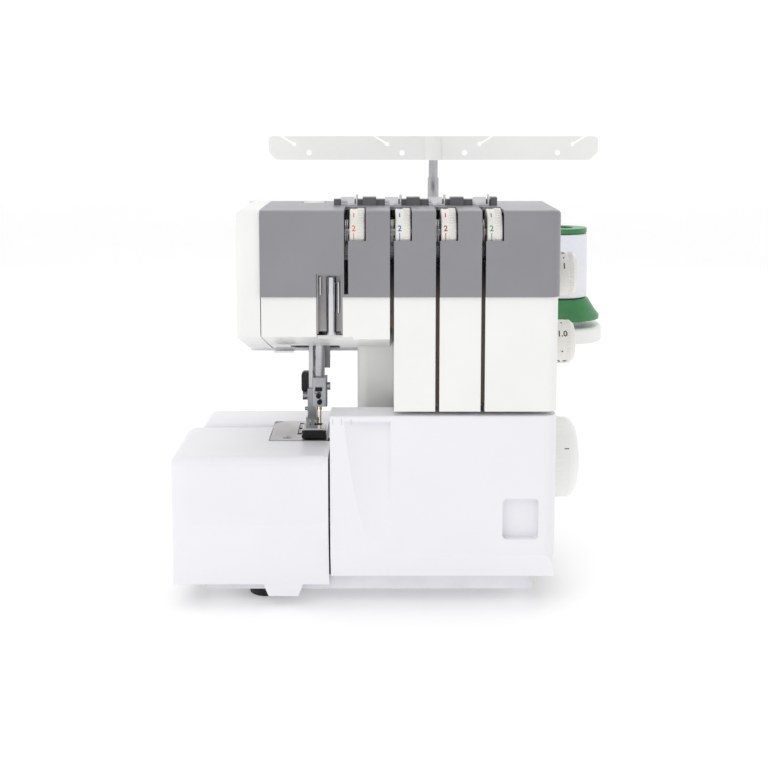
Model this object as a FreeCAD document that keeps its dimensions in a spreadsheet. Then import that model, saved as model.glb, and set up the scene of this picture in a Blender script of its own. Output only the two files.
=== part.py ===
import FreeCAD, Part
import math
import os
import Sketcher
from FreeCAD import Placement, Rotation, Vector

# A four-thread household overlocker. Millimetres, +Z up, -Y towards the operator, +X to the
# handwheel. The origin is on the table, under the middle of the machine with its spool stand.

doc = FreeCAD.newDocument("overlocker")
sheet = doc.addObject("Spreadsheet::Sheet", "Sizes")
nodes = {}


# ---------------------------------------------------------------- sizes and their formulas

class Size:
    """A length or angle, together with the sheet formula that it comes from."""

    def __init__(self, value, formula):
        self.value = float(value)
        self.formula = formula

    def __add__(self, other):
        other = as_size(other)
        return Size(self.value + other.value, f"({self.formula} + {other.formula})")

    def __radd__(self, other):
        return as_size(other) + self

    def __sub__(self, other):
        other = as_size(other)
        return Size(self.value - other.value, f"({self.formula} - {other.formula})")

    def __rsub__(self, other):
        return as_size(other) - self

    def __mul__(self, other):
        other = as_size(other)
        return Size(self.value * other.value, f"({self.formula} * {other.formula})")

    def __rmul__(self, other):
        return as_size(other) * self

    def __truediv__(self, other):
        other = as_size(other)
        return Size(self.value / other.value, f"({self.formula} / {other.formula})")

    def __neg__(self):
        return 0 - self


def as_size(number):
    """Wrap a plain number as a Size, so that it can stand in a formula."""
    if isinstance(number, Size):
        return number
    return Size(number, f"({float(number)!r})")


def size(alias, value):
    """Write one driving dimension into the sheet and return it."""
    cell = f"B{len(sheet.getNonEmptyCells()) // 2 + 1}"
    sheet.set(cell.replace("B", "A"), f"'{alias}")
    sheet.set(cell, repr(float(value)))
    sheet.setAlias(cell, alias)
    return Size(value, f"Sizes.{alias}")


# Overall
left = size("machine_left", -171.5)
right = size("casing_right", 109.5)
front = size("machine_front", -125)
rear = size("casing_rear", 32)
bed_top = size("bed_top", 116.5)
head_top = size("head_top", 295)
wall = size("shell_wall", 2.5)
seam = size("cover_seam", 0.6)
running = size("running_clearance", 0.05)

# Base and feet
tray_left = size("tray_left", -150)
tray_right = size("tray_right", 95.5)
tray_front = size("tray_front", -107)
tray_rear = size("tray_rear", 29)
foot_height = size("foot_height", 12)
foot_radius = size("foot_radius", 16)
tray_height = size("tray_height", 11)
frame_floor = foot_height + 3

# Bed and its covers
cover_split = size("cover_split", -56)
cover_depth = size("side_cover_depth", 100)
cover_bottom = size("side_cover_bottom", 17)
crease = size("side_cover_crease", 67)
crease_inset = size("side_cover_inset", 13)
door_bottom = size("front_cover_bottom", 25)
door_top = size("front_cover_top", 147)
door_depth = size("front_cover_depth", 30)
door_slope_top = size("front_cover_slope_top", 44)
door_inset = size("front_cover_inset", 9)
scoop_right = size("scoop_right", -10.8)

# Head and pillar
head_left = size("head_left", -121)
panel_left = size("panel_left", -103.5)
head_front = front + 2
head_depth = size("head_depth", 105)
head_back = front + head_depth
head_bottom = size("head_bottom", 204.5)
arm_rise = size("underside_drop", 27)
panel_bottom = size("panel_bottom", 233.3)
column_bottom = size("column_bottom", 150)
pillar_left = size("pillar_left", -36)
pillar_front = size("pillar_front", -59)
pillar_top = size("pillar_top", 200)

# Thread path
slot_first = size("slot_first", -42.4)
slot_pitch = size("slot_pitch", 32.6)
slot_width = size("slot_width", 3)
dial_radius = size("tension_dial_radius", 17.4)
dial_width = size("tension_dial_width", 10.8)
dial_window = size("dial_window_width", 12.6)
tension_y = front + 19.5
tension_z = size("tension_axis_height", 277.5)
tension_rod_radius = size("tension_rod_radius", 3)

# Needle side
needle_x = size("needle_bar_across", -65.5)
needle_y = size("needle_bar_depth_place", -35)
needle_bar_radius = size("needle_bar_radius", 3.6)
presser_x = size("presser_bar_across", -72.3)
presser_y = size("presser_bar_depth_place", -23.5)
presser_bar_radius = size("presser_bar_radius", 3)
clamp_bottom = size("clamp_bottom", 135.5)
clamp_height = size("clamp_height", 23)
recess_left = size("recess_left", -63.8)
recess_right = size("recess_right", -45)
recess_top = size("recess_top", 250)
plate_left = size("plate_left", -102.5)
plate_front = size("plate_front", -75)
plate_rear = size("plate_rear", -11)
plate_thick = size("plate_thick", 2)
pressure_x = size("pressure_dial_across", -69.5)
pressure_y = size("pressure_dial_depth_place", -34.5)
pressure_radius = size("pressure_dial_radius", 9)

# Drive
shaft_y = size("shaft_depth_place", -50)
shaft_z = size("shaft_height", 98)
shaft_radius = size("shaft_radius", 6)
wheel_radius = size("handwheel_radius", 31)
wheel_width = size("handwheel_width", 25)
pulley_radius = size("shaft_pulley_radius", 22)
motor_pulley_radius = size("motor_pulley_radius", 7)
motor_radius = size("motor_radius", 24)
motor_y = size("motor_depth_place", 3)
motor_z = size("motor_height", 56)
belt_thick = size("belt_thick", 2)

# Setting dials on the right-hand side
stitch_z = size("stitch_dial_height", 245)
feed_z = size("feed_dial_height", 194)
side_dial_y = size("side_dial_depth_place", -80)
side_dial_radius = size("side_dial_radius", 16.2)
side_dial_width = size("side_dial_width", 16.5)

# Spool stand and thread tree
tree_x = size("tree_across", 25.5)
tree_y = size("tree_depth_place", 50)
stand_half = size("stand_half_length", 146)
stand_front = size("stand_front", 35.5)
stand_rear = size("stand_rear", 125)
stand_top = size("stand_top", 184)
stand_thick = size("stand_thick", 13)
outer_pin = size("outer_pin_offset", 109)
inner_pin = size("inner_pin_offset", 32.4)
outer_pin_y = size("outer_pin_depth_place", 68)
inner_pin_y = size("inner_pin_depth_place", 97)
pin_radius = size("pin_radius", 3)
pin_height = size("pin_height", 76)
mast_radius = size("mast_radius", 5.8)
mid_tube_radius = size("mid_tube_radius", 4.65)
top_rod_radius = size("top_rod_radius", 3.9)
mast_top = size("mast_top", 262)
mid_tube_top = size("mid_tube_top", 310)
tree_bottom = size("tree_bottom", 324.7)
tree_height = size("tree_height", 19.8)
tree_half = size("tree_half_length", 137)
tree_thick = size("tree_thick", 2.4)
cone_radius = size("cone_thread_radius", 23)


# ---------------------------------------------------------------- building blocks

def bind(thing, name, amount):
    """Set a property from a Size, and tie it to the sheet by the Size's formula."""
    amount = as_size(amount)
    thing.setExpression(name, amount.formula)


def keep(label, thing):
    """Name an object as a finished sub-part."""
    thing.Label = label
    nodes[label] = thing
    return thing


def new_body(label):
    """Start a sub-part that is made from sketches."""
    return keep(label, doc.addObject("PartDesign::Body", label + "_body"))


def place(thing, x=0, y=0, z=0, turn=None):
    """Put a sub-part at a bound position, turned if asked."""
    if turn is not None:
        thing.Placement = Placement(Vector(), turn)
    bind(thing, "Placement.Base.x", x)
    bind(thing, "Placement.Base.y", y)
    bind(thing, "Placement.Base.z", z)
    return thing


def add_sketch(body, plane, level, points, circles):
    """Draw a closed outline and circles on an origin plane, every point tied to the sheet."""
    role = {"XY": "XY_Plane", "XZ": "XZ_Plane", "YZ": "YZ_Plane"}[plane]
    support = [part for part in body.Origin.OriginFeatures if part.Role == role][0]
    sketch = body.newObject("Sketcher::SketchObject", body.Name + "_sketch")
    sketch.AttachmentSupport = (support, [""])
    sketch.MapMode = "FlatFace"
    bind(sketch, "AttachmentOffset.Base.z", -as_size(level) if plane == "XZ" else level)
    corners = [(as_size(u), as_size(v)) for u, v in points]
    for index, (u, v) in enumerate(corners):
        next_u, next_v = corners[(index + 1) % len(corners)]
        start = Vector(u.value, v.value, 0)
        end = Vector(next_u.value, next_v.value, 0)
        sketch.addGeometry(Part.LineSegment(start, end), False)
    for index in range(len(corners)):
        follower = (index + 1) % len(corners)
        sketch.addConstraint(Sketcher.Constraint("Coincident", index, 2, follower, 1))
    for index, (u, v) in enumerate(corners):
        tie_point(sketch, index, 1, u, v)
    for u, v, radius in circles:
        u, v, radius = as_size(u), as_size(v), as_size(radius)
        circle = Part.Circle(Vector(u.value, v.value, 0), Vector(0, 0, 1), radius.value)
        index = sketch.addGeometry(circle, False)
        tie_point(sketch, index, 3, u, v)
        held = sketch.addConstraint(Sketcher.Constraint("Radius", index, radius.value))
        sketch.setExpression(f"Constraints[{held}]", radius.formula)
    return sketch


def tie_point(sketch, index, end, u, v):
    """Fix one sketch point at two bound distances from the sketch's origin."""
    for kind, amount in (("DistanceX", u), ("DistanceY", v)):
        held = sketch.addConstraint(Sketcher.Constraint(kind, -1, 1, index, end, amount.value))
        sketch.setExpression(f"Constraints[{held}]", amount.formula)


def pad(body, plane, level, length, points=(), circles=()):
    """Add material from a plane's level, in the positive direction."""
    feature_sketch = add_sketch(body, plane, level, points, circles)
    feature = body.newObject("PartDesign::Pad", body.Name + "_pad")
    feature.Profile = feature_sketch
    feature.Reversed = plane == "XZ"
    bind(feature, "Length", length)
    doc.recompute()
    return body


def pocket(body, plane, level, length, points=(), circles=()):
    """Remove material from a plane's level, in the positive direction."""
    before = body.Shape.Volume
    feature_sketch = add_sketch(body, plane, level, points, circles)
    feature = body.newObject("PartDesign::Pocket", body.Name + "_pocket")
    feature.Profile = feature_sketch
    feature.Reversed = plane != "XZ"
    bind(feature, "Length", length)
    doc.recompute()
    if body.Shape.Volume > before - 0.5:
        raise RuntimeError(f"a pocket in {body.Label} removes nothing")
    return body


def spin(body, plane, axis, points):
    """Turn a profile about a sketch axis: V_Axis is the upright one, H_Axis the level one."""
    profile = add_sketch(body, plane, 0, points, ())
    feature = body.newObject("PartDesign::Revolution", body.Name + "_spin")
    feature.Profile = profile
    feature.ReferenceAxis = (profile, [axis])
    feature.Angle = 360
    doc.recompute()
    return body


def rectangle(u_low, u_high, v_low, v_high):
    """The four corners of a rectangle."""
    return [(u_low, v_low), (u_high, v_low), (u_high, v_high), (u_low, v_high)]


def edge_lies(edge, spots):
    """Whether an edge stays at one of the given places, each a dict of axis to coordinate."""
    middle = edge.valueAt((edge.FirstParameter + edge.LastParameter) / 2)
    points = [vertex.Point for vertex in edge.Vertexes] + [middle]
    for spot in spots:
        gaps = [abs(getattr(point, axis) - as_size(at).value) for axis, at in spot.items() for point in points]
        if max(gaps) < 0.02:
            return True
    return False


def round_edges(body, radius, *spots):
    """Round the edges that lie at the given places."""
    edges = body.Tip.Shape.Edges
    names = [f"Edge{number + 1}" for number, edge in enumerate(edges) if edge_lies(edge, spots)]
    if not names:
        raise RuntimeError(f"no edge to round in {body.Label}")
    base = body.Tip
    feature = body.newObject("PartDesign::Fillet", body.Name + "_round")
    feature.Base = (base, names)
    bind(feature, "Radius", radius)
    doc.recompute()
    return body


def box(name, x_low, x_high, y_low, y_high, z_low, z_high):
    """A block between bound coordinates."""
    block = doc.addObject("Part::Box", name)
    for side, low, high in (("Length", x_low, x_high), ("Width", y_low, y_high), ("Height", z_low, z_high)):
        bind(block, side, as_size(high) - low)
    return place(block, x_low, y_low, z_low)


AXIS_TURN = {
    "x": Rotation(Vector(0, 0, 1), Vector(1, 0, 0)),
    "y": Rotation(Vector(0, 0, 1), Vector(0, 1, 0)),
    "z": Rotation(),
}


def cylinder(name, axis, x, y, z, radius, length):
    """A round bar that starts at a point and runs along a positive axis."""
    bar = doc.addObject("Part::Cylinder", name)
    bind(bar, "Radius", radius)
    bind(bar, "Height", length)
    return place(bar, x, y, z, AXIS_TURN[axis])


def cone(name, x, y, z, low_radius, high_radius, length):
    """An upright tapered bar."""
    bar = doc.addObject("Part::Cone", name)
    bind(bar, "Radius1", low_radius)
    bind(bar, "Radius2", high_radius)
    bind(bar, "Height", length)
    return place(bar, x, y, z)


def fuse(name, parts):
    """Join pieces, or group them where they stand apart."""
    joined = doc.addObject("Part::MultiFuse", name)
    joined.Shapes = list(parts)
    doc.recompute()
    return joined


def cut(name, base, tool):
    """Take one object away from another."""
    result = doc.addObject("Part::Cut", name)
    result.Base = base
    result.Tool = tool
    doc.recompute()
    return result


def slot_centre(index):
    """Where thread slot 0 to 3 lies across the machine."""
    return slot_first + index * slot_pitch


LIFTER = (-63, 170)     # the presser lifter's pivot, across and up


# ---------------------------------------------------------------- base and frame

def make_base_tray():
    """The shallow tray that everything stands in."""
    body = new_body("base_tray")
    bottom = foot_height
    pad(body, "XY", bottom, tray_height, rectangle(tray_left, tray_right, tray_front, tray_rear))
    corners = [dict(x=x, y=y) for x in (tray_left, tray_right) for y in (tray_front, tray_rear)]
    round_edges(body, 6, *corners)
    inner = rectangle(tray_left + wall, tray_right - wall, tray_front + wall, tray_rear - wall)
    pocket(body, "XY", bottom + 3, tray_height, inner)


def foot_places():
    """The four feet, as seen from above."""
    reach = foot_radius + 2
    across = (tray_left + reach + 28, tray_right - reach - 4)
    along = (tray_front + reach + 12, tray_rear - reach)
    inward = 30
    return [(across[0], along[0]), (across[0], along[1]), (across[1], along[0] + inward), (across[1], along[1])]


def make_feet():
    """Four tapered rubber feet."""
    feet = [cone(f"foot_{number}", x, y, 0, foot_radius - 2, foot_radius, foot_height)
            for number, (x, y) in enumerate(foot_places())]
    keep("rubber_feet", fuse("feet", feet))


def make_main_frame():
    """The cast frame: floor, shaft walls, rear post and guide arm, with what is bolted to it."""
    bore = shaft_radius + running
    arm_front = front + 108
    floor = box("frame_floor", -50, 88, front + 45, rear - 9, frame_floor, frame_floor + 7)
    right_wall = box("frame_right_wall", 80, 88, front + 50, front + 100, frame_floor, shaft_z + 18)
    left_wall = box("frame_left_wall", -22, -14, front + 60, front + 100, frame_floor, shaft_z + 12)
    post = box("frame_post", -20, 12, arm_front, front + 145, frame_floor, pillar_top - 6)
    neck = box("frame_neck", -20, 12, arm_front, front + 124, frame_floor, 262)
    arm = box("frame_arm", -92, 12, arm_front, front + 118, 212, 262)
    guides = [box(f"frame_guide_{level}", -82, -57, front + 80, arm_front, level, level + 12)
              for level in (212, 250)]
    saddle = box("motor_saddle", 30, 74, motor_y - 14, motor_y + 14, frame_floor, motor_z - 12)
    lifter_tab = box("lifter_tab", LIFTER[0] - 5, LIFTER[0] + 5, presser_y - 5.5, presser_y - 2.5,
                     LIFTER[1] - 6, 214)
    lifter_pin = cylinder("lifter_pin", "y", LIFTER[0], presser_y - 5.5, LIFTER[1], 2, 20.5)
    rail = box("bracket_rail", -40, 88, front + 31, front + 34, frame_floor, door_bottom + 12)
    rail_foot = box("rail_foot", -40, 88, front + 31, front + 46, frame_floor, frame_floor + 2.5)
    solid = fuse("frame_solid", [floor, right_wall, left_wall, post, neck, arm, saddle, lifter_tab, lifter_pin,
                                 rail, rail_foot] + guides)
    shaft_hole = cylinder("frame_shaft_hole", "x", -40, shaft_y, shaft_z, bore, 140)
    needle_hole = cylinder("frame_needle_hole", "z", needle_x, needle_y, 200, needle_bar_radius + running, 90)
    presser_hole = cylinder("frame_presser_hole", "z", presser_x, presser_y, 200,
                            presser_bar_radius + running, 90)
    trough = cylinder("saddle_trough", "x", 20, motor_y, motor_z, motor_radius, 70)
    holes = fuse("frame_holes", [shaft_hole, needle_hole, presser_hole, trough])
    keep("main_frame", cut("frame", solid, holes))


# ---------------------------------------------------------------- lower covers

def plate_notch(clearance):
    """The recess that the needle plate drops into, seen from above."""
    return rectangle(plate_left - clearance, cover_split + 4, plate_front - clearance, plate_rear + clearance)


def make_side_cover():
    """The swinging cloth-plate cover on the left, open to the right, the back and the bottom."""
    body = new_body("side_cover")
    back = front + cover_depth
    outline = [(front, crease), (front, bed_top), (back, bed_top), (back, cover_bottom),
               (front + crease_inset, cover_bottom)]
    pad(body, "YZ", left, cover_split - left, outline)
    round_edges(body, 14, dict(x=left, y=front))
    round_edges(body, 8, dict(x=left, y=back))
    round_edges(body, 7.5, dict(y=front, z=bed_top))
    inner = [(front + wall, crease), (front + wall, bed_top - wall), (back + 1, bed_top - wall),
             (back + 1, cover_bottom - 1), (front + crease_inset + wall, cover_bottom - 1)]
    pocket(body, "YZ", left + 11, cover_split - left, inner)
    pocket(body, "XY", cover_bottom - 1, bed_top + 2, plate_notch(seam))
    tab_x = -90
    tab = [(tab_x - 15.5, cover_bottom + 2), (tab_x + 15.5, cover_bottom + 2), (tab_x + 11, cover_bottom - 9),
           (tab_x - 11, cover_bottom - 9)]
    pad(body, "XZ", front + crease_inset, 2.4, tab)


def make_bed_rear():
    """The fixed bed behind the seam, with a shelf that the needle plate's rear rests on."""
    body = new_body("bed_rear")
    near = front + cover_depth + seam
    inner_right = pillar_left - 0.3
    pad(body, "XY", frame_floor + 9.5, bed_top - frame_floor - 9.5,
        rectangle(left + 11, inner_right, near, rear))
    round_edges(body, 7, dict(x=left + 11, y=rear), dict(x=left + 11, y=near))
    round_edges(body, 5, dict(x=left + 11, z=bed_top), dict(y=rear, z=bed_top))
    hollow = rectangle(left + 11 + 7, inner_right + 1, near - 1, rear - wall)
    pocket(body, "XY", frame_floor + 9, bed_top - frame_floor - 9 - wall, hollow)
    pocket(body, "XY", frame_floor + 9, bed_top, plate_notch(seam))


def make_front_cover():
    """The looper door: a shell that is open behind, with a scoop and a finger recess in its face."""
    body = new_body("front_cover")
    door_left = cover_split + 1.5
    back = front + door_depth
    chamfer = 2.2
    outline = [(front, door_slope_top), (front, door_top), (back, door_top), (back, door_bottom + chamfer),
               (back - chamfer, door_bottom), (front + door_inset, door_bottom)]
    pad(body, "YZ", door_left, right - door_left, outline)
    round_edges(body, 10, dict(x=right, y=front))
    round_edges(body, 1.5, dict(y=front, z=door_top))
    inner = [(front + wall, door_slope_top), (front + wall, door_top - wall), (back + 1, door_top - wall),
             (back + 1, door_bottom + wall), (front + door_inset + wall, door_bottom + wall)]
    pocket(body, "YZ", scoop_right + wall, right - 2 * wall - scoop_right - wall, inner)
    behind_scoop = [(front + 11, door_bottom + wall), (front + 11, door_top - wall),
                    (back + 1, door_top - wall), (back + 1, door_bottom + wall)]
    pocket(body, "YZ", door_left + wall, scoop_right - door_left, behind_scoop)
    grip = (70.5, 96.5, 55.7, 86)
    pad(body, "XZ", front + wall, 8, rectangle(grip[0] - wall, grip[1] + wall, grip[2] - wall, grip[3] + wall))
    pocket(body, "XZ", front - 1, 8, rectangle(*grip))
    round_edges(body, 3, *[dict(x=x, z=z) for x in grip[:2] for z in grip[2:]])
    for ear_x in (door_left + wall, right - 2 * wall - 0.5):
        ear = rectangle(hinge_y() - 3.5, hinge_y() + 4, door_bottom + 1, door_bottom + 11)
        pad(body, "YZ", ear_x, 3, ear)
    floor_cut = (door_bottom - 1, wall + 1.6)
    pocket(body, "XY", *floor_cut, rectangle(door_left + wall + 3, right - 2 * wall - 0.5, hinge_y() + 4, back + 1))
    for arm_x in bracket_arms():
        pocket(body, "XY", *floor_cut, rectangle(arm_x - 1, arm_x + 4, hinge_y() - 2.7, back + 1))
    pivot = [(hinge_y(), hinge_z(), 2 + running)]
    pocket(body, "YZ", door_left + wall - 0.5, 4, (), pivot)
    pocket(body, "YZ", right - 2 * wall - 1, 4, (), pivot)
    scoop = doc.addObject("Part::Cylinder", "scoop_tool")
    bind(scoop, "Radius", 34)
    bind(scoop, "Height", 140)
    lean = Rotation(Vector(1, 0, 0), -5.5)
    place(scoop, scoop_right - 11, front - 35, door_bottom + 20, lean)
    limit = box("scoop_limit", door_left + 3, scoop_right, front - 5, front + 10, door_bottom, door_top - 4)
    cutter = doc.addObject("Part::Common", "scoop_cut")
    cutter.Base = scoop
    cutter.Tool = limit
    del nodes["front_cover"]
    body.Label = "front_cover_shell"
    keep("front_cover", cut("front_cover_scooped", body, cutter))


def hinge_y():
    """How far back the looper door's hinge line is."""
    return front + 14


def hinge_z():
    """The height of the looper door's hinge line."""
    return door_bottom + 6


def bracket_arms():
    """Where the two arms of the door's bracket stand, across the machine."""
    return cover_split + 13.5, right - 17


def make_door_bracket():
    """The steel slide that the looper door hangs on, with two arms that end in hinge pins."""
    low = door_bottom + 3
    door_left = cover_split + 1.5
    arm_left, arm_right = bracket_arms()
    strip = box("bracket_strip", arm_left, arm_right + 3, hinge_y() + 9, hinge_y() + 12, low, low + 9)
    riders = [box(f"bracket_rider_{x}", x, x + 12, hinge_y() + 11, front + 30.7, low, low + 9) for x in (-25, 60)]
    arms = [box(f"bracket_arm_{number}", x, x + 3, hinge_y() - 2, hinge_y() + 10, hinge_z() - 2, hinge_z() + 2)
            for number, x in enumerate(bracket_arms())]
    pin_left = cylinder("bracket_pin_left", "x", door_left + wall + 0.2, hinge_y(), hinge_z(), 2,
                        arm_left + 1 - door_left - wall)
    pin_right = cylinder("bracket_pin_right", "x", arm_right + 1, hinge_y(), hinge_z(), 2,
                         right - wall - 1.2 - arm_right)
    keep("door_bracket", fuse("bracket", [strip, pin_left, pin_right] + riders + arms))


# ---------------------------------------------------------------- head and pillar

def make_main_casing():
    """The pillar and the lower right-hand casing, open to the looper space."""
    body = new_body("main_casing")
    low = frame_floor + 9.5
    pad(body, "XY", low, pillar_top - low, rectangle(pillar_left, right - 0.5, pillar_front, rear))
    pad(body, "XY", low, column_bottom - seam - low,
        rectangle(right - 0.5 - wall, right - 0.5, front + door_depth + seam, pillar_front + 1))
    round_edges(body, 8, dict(x=pillar_left, y=pillar_front), dict(x=pillar_left, y=rear))
    round_edges(body, 8, dict(x=right - 0.5, y=rear))
    hollow = rectangle(pillar_left + wall, right - 0.5 - wall, pillar_front + wall, rear - wall)
    pocket(body, "XY", low - 1, pillar_top - low + 2, hollow)
    pocket(body, "XZ", pillar_front - 1, wall + 2,
           rectangle(pillar_left - 1, right - 0.5 - wall, low - 1, bed_top + 0.4))
    pocket(body, "XZ", pillar_front - 1, wall + 2,
           rectangle(scoop_right + 3, right - 0.5 - wall, low - 1, column_bottom - 2))
    pad(body, "XY", pillar_top, panel_bottom - 0.4 - pillar_top,
        rectangle(right - 0.5 - wall, right - 0.5, pillar_front, head_back - seam))
    pocket(body, "YZ", pillar_left - 1, wall + 2,
           rectangle(pillar_front - 1, rear - 9, low - 1, bed_top - 4))
    shaft_hole = [(shaft_y, shaft_z, shaft_radius + 3)]
    pocket(body, "YZ", right - 1 - wall, wall + 2, (), shaft_hole)
    pocket(body, "YZ", right - 1 - wall, wall + 2, rectangle(-6, 20, 28, 46))
    pocket(body, "YZ", right - 1 - wall, wall + 2, rectangle(-6, 16, 121, 141))


def head_underside(depth):
    """How high the head's sloping underside is, at a depth behind the head's front."""
    return head_bottom - arm_rise * depth / (head_depth - 2)


def make_face_cover():
    """The end cap on the head's left."""
    body = new_body("face_cover")
    cap_right = panel_left - seam / 2
    outline = [(head_front, head_bottom), (head_front, head_top), (head_back, head_top),
               (head_back, head_underside(head_depth - 2))]
    pad(body, "YZ", head_left, cap_right - head_left, outline)
    round_edges(body, 5, dict(x=head_left, y=head_front), dict(x=head_left, z=head_top),
                dict(x=head_left, y=head_back))
    round_edges(body, 4, dict(y=head_front, z=head_top))
    inner = [(head_front + wall, head_underside(wall) + wall), (head_front + wall, head_top - wall),
             (head_back - wall, head_top - wall), (head_back - wall, head_underside(head_depth - 2) + 2 * wall)]
    pocket(body, "YZ", head_left + wall + 1, cap_right - head_left, inner)


def make_head_cover():
    """The white front of the head: a band, a sloping underside and the column to the door's top."""
    body = new_body("head_cover")
    band_left = panel_left + seam / 2
    column_left = slot_centre(1) + slot_width / 2
    top = panel_bottom - 0.3
    back = pillar_front - seam
    outline = [(head_front, head_bottom), (head_front, top), (head_back - seam, top),
               (head_back - seam, head_underside(head_depth - 2) + 0.6)]
    pad(body, "YZ", band_left, pillar_left - seam - band_left, outline)
    hollow = [(head_front + wall, head_underside(wall) + wall), (head_front + wall, top + 1),
              (head_back, top + 1), (head_back, head_underside(head_depth - 2) + wall)]
    pocket(body, "YZ", band_left - 1, pillar_left - band_left + 5, hollow)
    bridge = [(head_front, head_bottom - 1.7), (head_front, top), (back, top),
              (back, head_underside(62) - 1.7)]
    pad(body, "YZ", pillar_left - seam - 1, column_left - slot_width - pillar_left + seam + 1, bridge)
    bridge_hollow = [(head_front + wall, head_bottom + 0.5), (head_front + wall, top + 1), (back + 1, top + 1),
                     (back + 1, head_underside(62) + 0.5)]
    pocket(body, "YZ", pillar_left - seam - 2, column_left - pillar_left + 2, bridge_hollow)
    pad(body, "XY", column_bottom, top - column_bottom, rectangle(column_left, right, head_front, back))
    pad(body, "XY", top - 8, 8, rectangle(column_left - slot_width - 1, column_left + 1, head_front + 16, back))
    round_edges(body, 8, dict(x=right, y=head_front))
    pocket(body, "XY", column_bottom + wall, top, rectangle(column_left + wall, right - wall,
                                                           head_front + wall, back + 1))
    for index in (2, 3):
        slot = rectangle(slot_centre(index) - slot_width / 2, slot_centre(index) + slot_width / 2,
                         head_front - 1, head_front + 20)
        pocket(body, "XY", column_bottom - 1, top, slot)
    pocket(body, "XY", head_underside(40) - 20, top,
           rectangle(recess_left, recess_right, head_front - 1, head_front + 14))
    pocket(body, "XY", head_underside(103) - 20, 40, rectangle(-88, -50, needle_y - 12, presser_y + 14))
    pocket(body, "YZ", right - wall - 1, wall + 2, (), [(side_dial_y, feed_z, 4)])


def make_grey_panel():
    """The grey shell over the head's front, top and right-hand side."""
    body = new_body("grey_panel")
    outer_right = right + 1
    rear_edge = head_back - seam
    outline = rectangle(front, rear_edge, panel_bottom, head_top)
    pad(body, "YZ", panel_left, outer_right - panel_left, outline)
    round_edges(body, 9, dict(x=outer_right, y=front))
    round_edges(body, 3, dict(y=front, z=head_top))
    inner = [(front + wall + 2, panel_bottom - 1), (front + wall + 2, head_top - wall),
             (rear_edge + 1, head_top - wall), (rear_edge + 1, panel_bottom - 1)]
    pocket(body, "YZ", panel_left - 1, outer_right - wall - panel_left + 1, inner)
    for index in range(4):
        edge = slot_centre(index) - slot_width / 2
        slot_low = panel_bottom + 2 if index == 0 else panel_bottom - 1
        pocket(body, "XY", slot_low, 80, rectangle(edge, edge + slot_width, front - 1, front + 42))
        window = rectangle(edge + slot_width - 0.1, edge + slot_width + dial_window, front - 1, front + 38)
        pocket(body, "XY", tension_z - 4, 40, window)
        pocket(body, "XY", tension_z - dial_radius, dial_radius,
               rectangle(edge + slot_width - 0.1, edge + slot_width + dial_window, front + 1.8, front + 12))
    pocket(body, "XY", panel_bottom - 1, recess_top - panel_bottom + 1,
           rectangle(recess_left, recess_right, front - 1, front + 16))
    pocket(body, "XY", head_top - wall - 1, 8, (), [(pressure_x, pressure_y, pressure_radius + 0.5)])
    pocket(body, "YZ", right - wall - 2, wall + 5, (), [(side_dial_y, stitch_z, 4)])


def make_recess_liner():
    """The grey channel that lines the needle recess, open in front and below."""
    back = front + 16
    outer = box("liner_outer", recess_left + 0.2, recess_right - 0.2, front + 3, back, head_bottom + 2,
                recess_top - 0.3)
    inner = box("liner_inner", recess_left + 1.4, recess_right - 1.4, front + 2, back - 1.4, head_bottom,
                recess_top - 1.5)
    keep("recess_liner", cut("liner", outer, inner))


def make_rear_cover():
    """The back of the head and pillar, one moulding."""
    body = new_body("rear_cover")
    near = head_back
    low = pillar_top + seam
    outline = [(near, low), (near, head_top), (near + 16, head_top - 2), (rear, low + 8), (rear, low)]
    pad(body, "YZ", pillar_left, right - 0.5 - pillar_left, outline)
    hollow = [(near - 1, low - 1), (near - 1, head_top - wall), (near + 15, head_top - wall - 2),
              (rear - wall, low + 7), (rear - wall, low - 1)]
    pocket(body, "YZ", pillar_left + wall, right - 0.5 - pillar_left - 2 * wall, hollow)
    arm_low = head_underside(head_depth) - 1
    arm = [(near + seam, arm_low), (near + seam, head_top), (near + 16, head_top - 2), (near + 18, arm_low)]
    pad(body, "YZ", head_left, pillar_left - 0.5 - head_left, arm)
    joint = [(near + seam, low), (near + seam, head_top), (near + 16, head_top - 2), (near + 17.6, low)]
    pad(body, "YZ", pillar_left - 1, 2, joint)
    arm_hollow = [(near + seam - 1, arm_low + wall), (near + seam - 1, head_top - wall),
                  (near + 13.5, head_top - wall - 2), (near + 15.5, arm_low + wall)]
    pocket(body, "YZ", head_left + wall, pillar_left - head_left + wall + 1, arm_hollow)


# ---------------------------------------------------------------- needle side

def make_needle_plate():
    """The steel plate under the foot, with its needle hole, feed slots and chamfered corner."""
    body = new_body("needle_plate")
    plate_right = cover_split - 2.5
    outline = [(plate_left, plate_front), (plate_right, plate_front), (plate_right, plate_rear),
               (plate_left + 9, plate_rear), (plate_left, plate_rear - 9)]
    pad(body, "XY", bed_top - plate_thick, plate_thick + 0.3, outline)
    for slot_left in (-82.5, -75.5):
        pocket(body, "XY", bed_top - 5, 10, rectangle(slot_left, slot_left + 5, -56, -18))
    pocket(body, "XY", bed_top - 5, 10, rectangle(needle_x - 4.5, needle_x + 2, needle_y - 3.5, needle_y + 3))
    screw_spot = (plate_left + 13, plate_front + 10)
    pocket(body, "XY", bed_top - 5, 10, (), [(*screw_spot, 2.05)])
    pocket(body, "XY", bed_top - 1.3, 5, (), [(*screw_spot, 3.5)])


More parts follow.
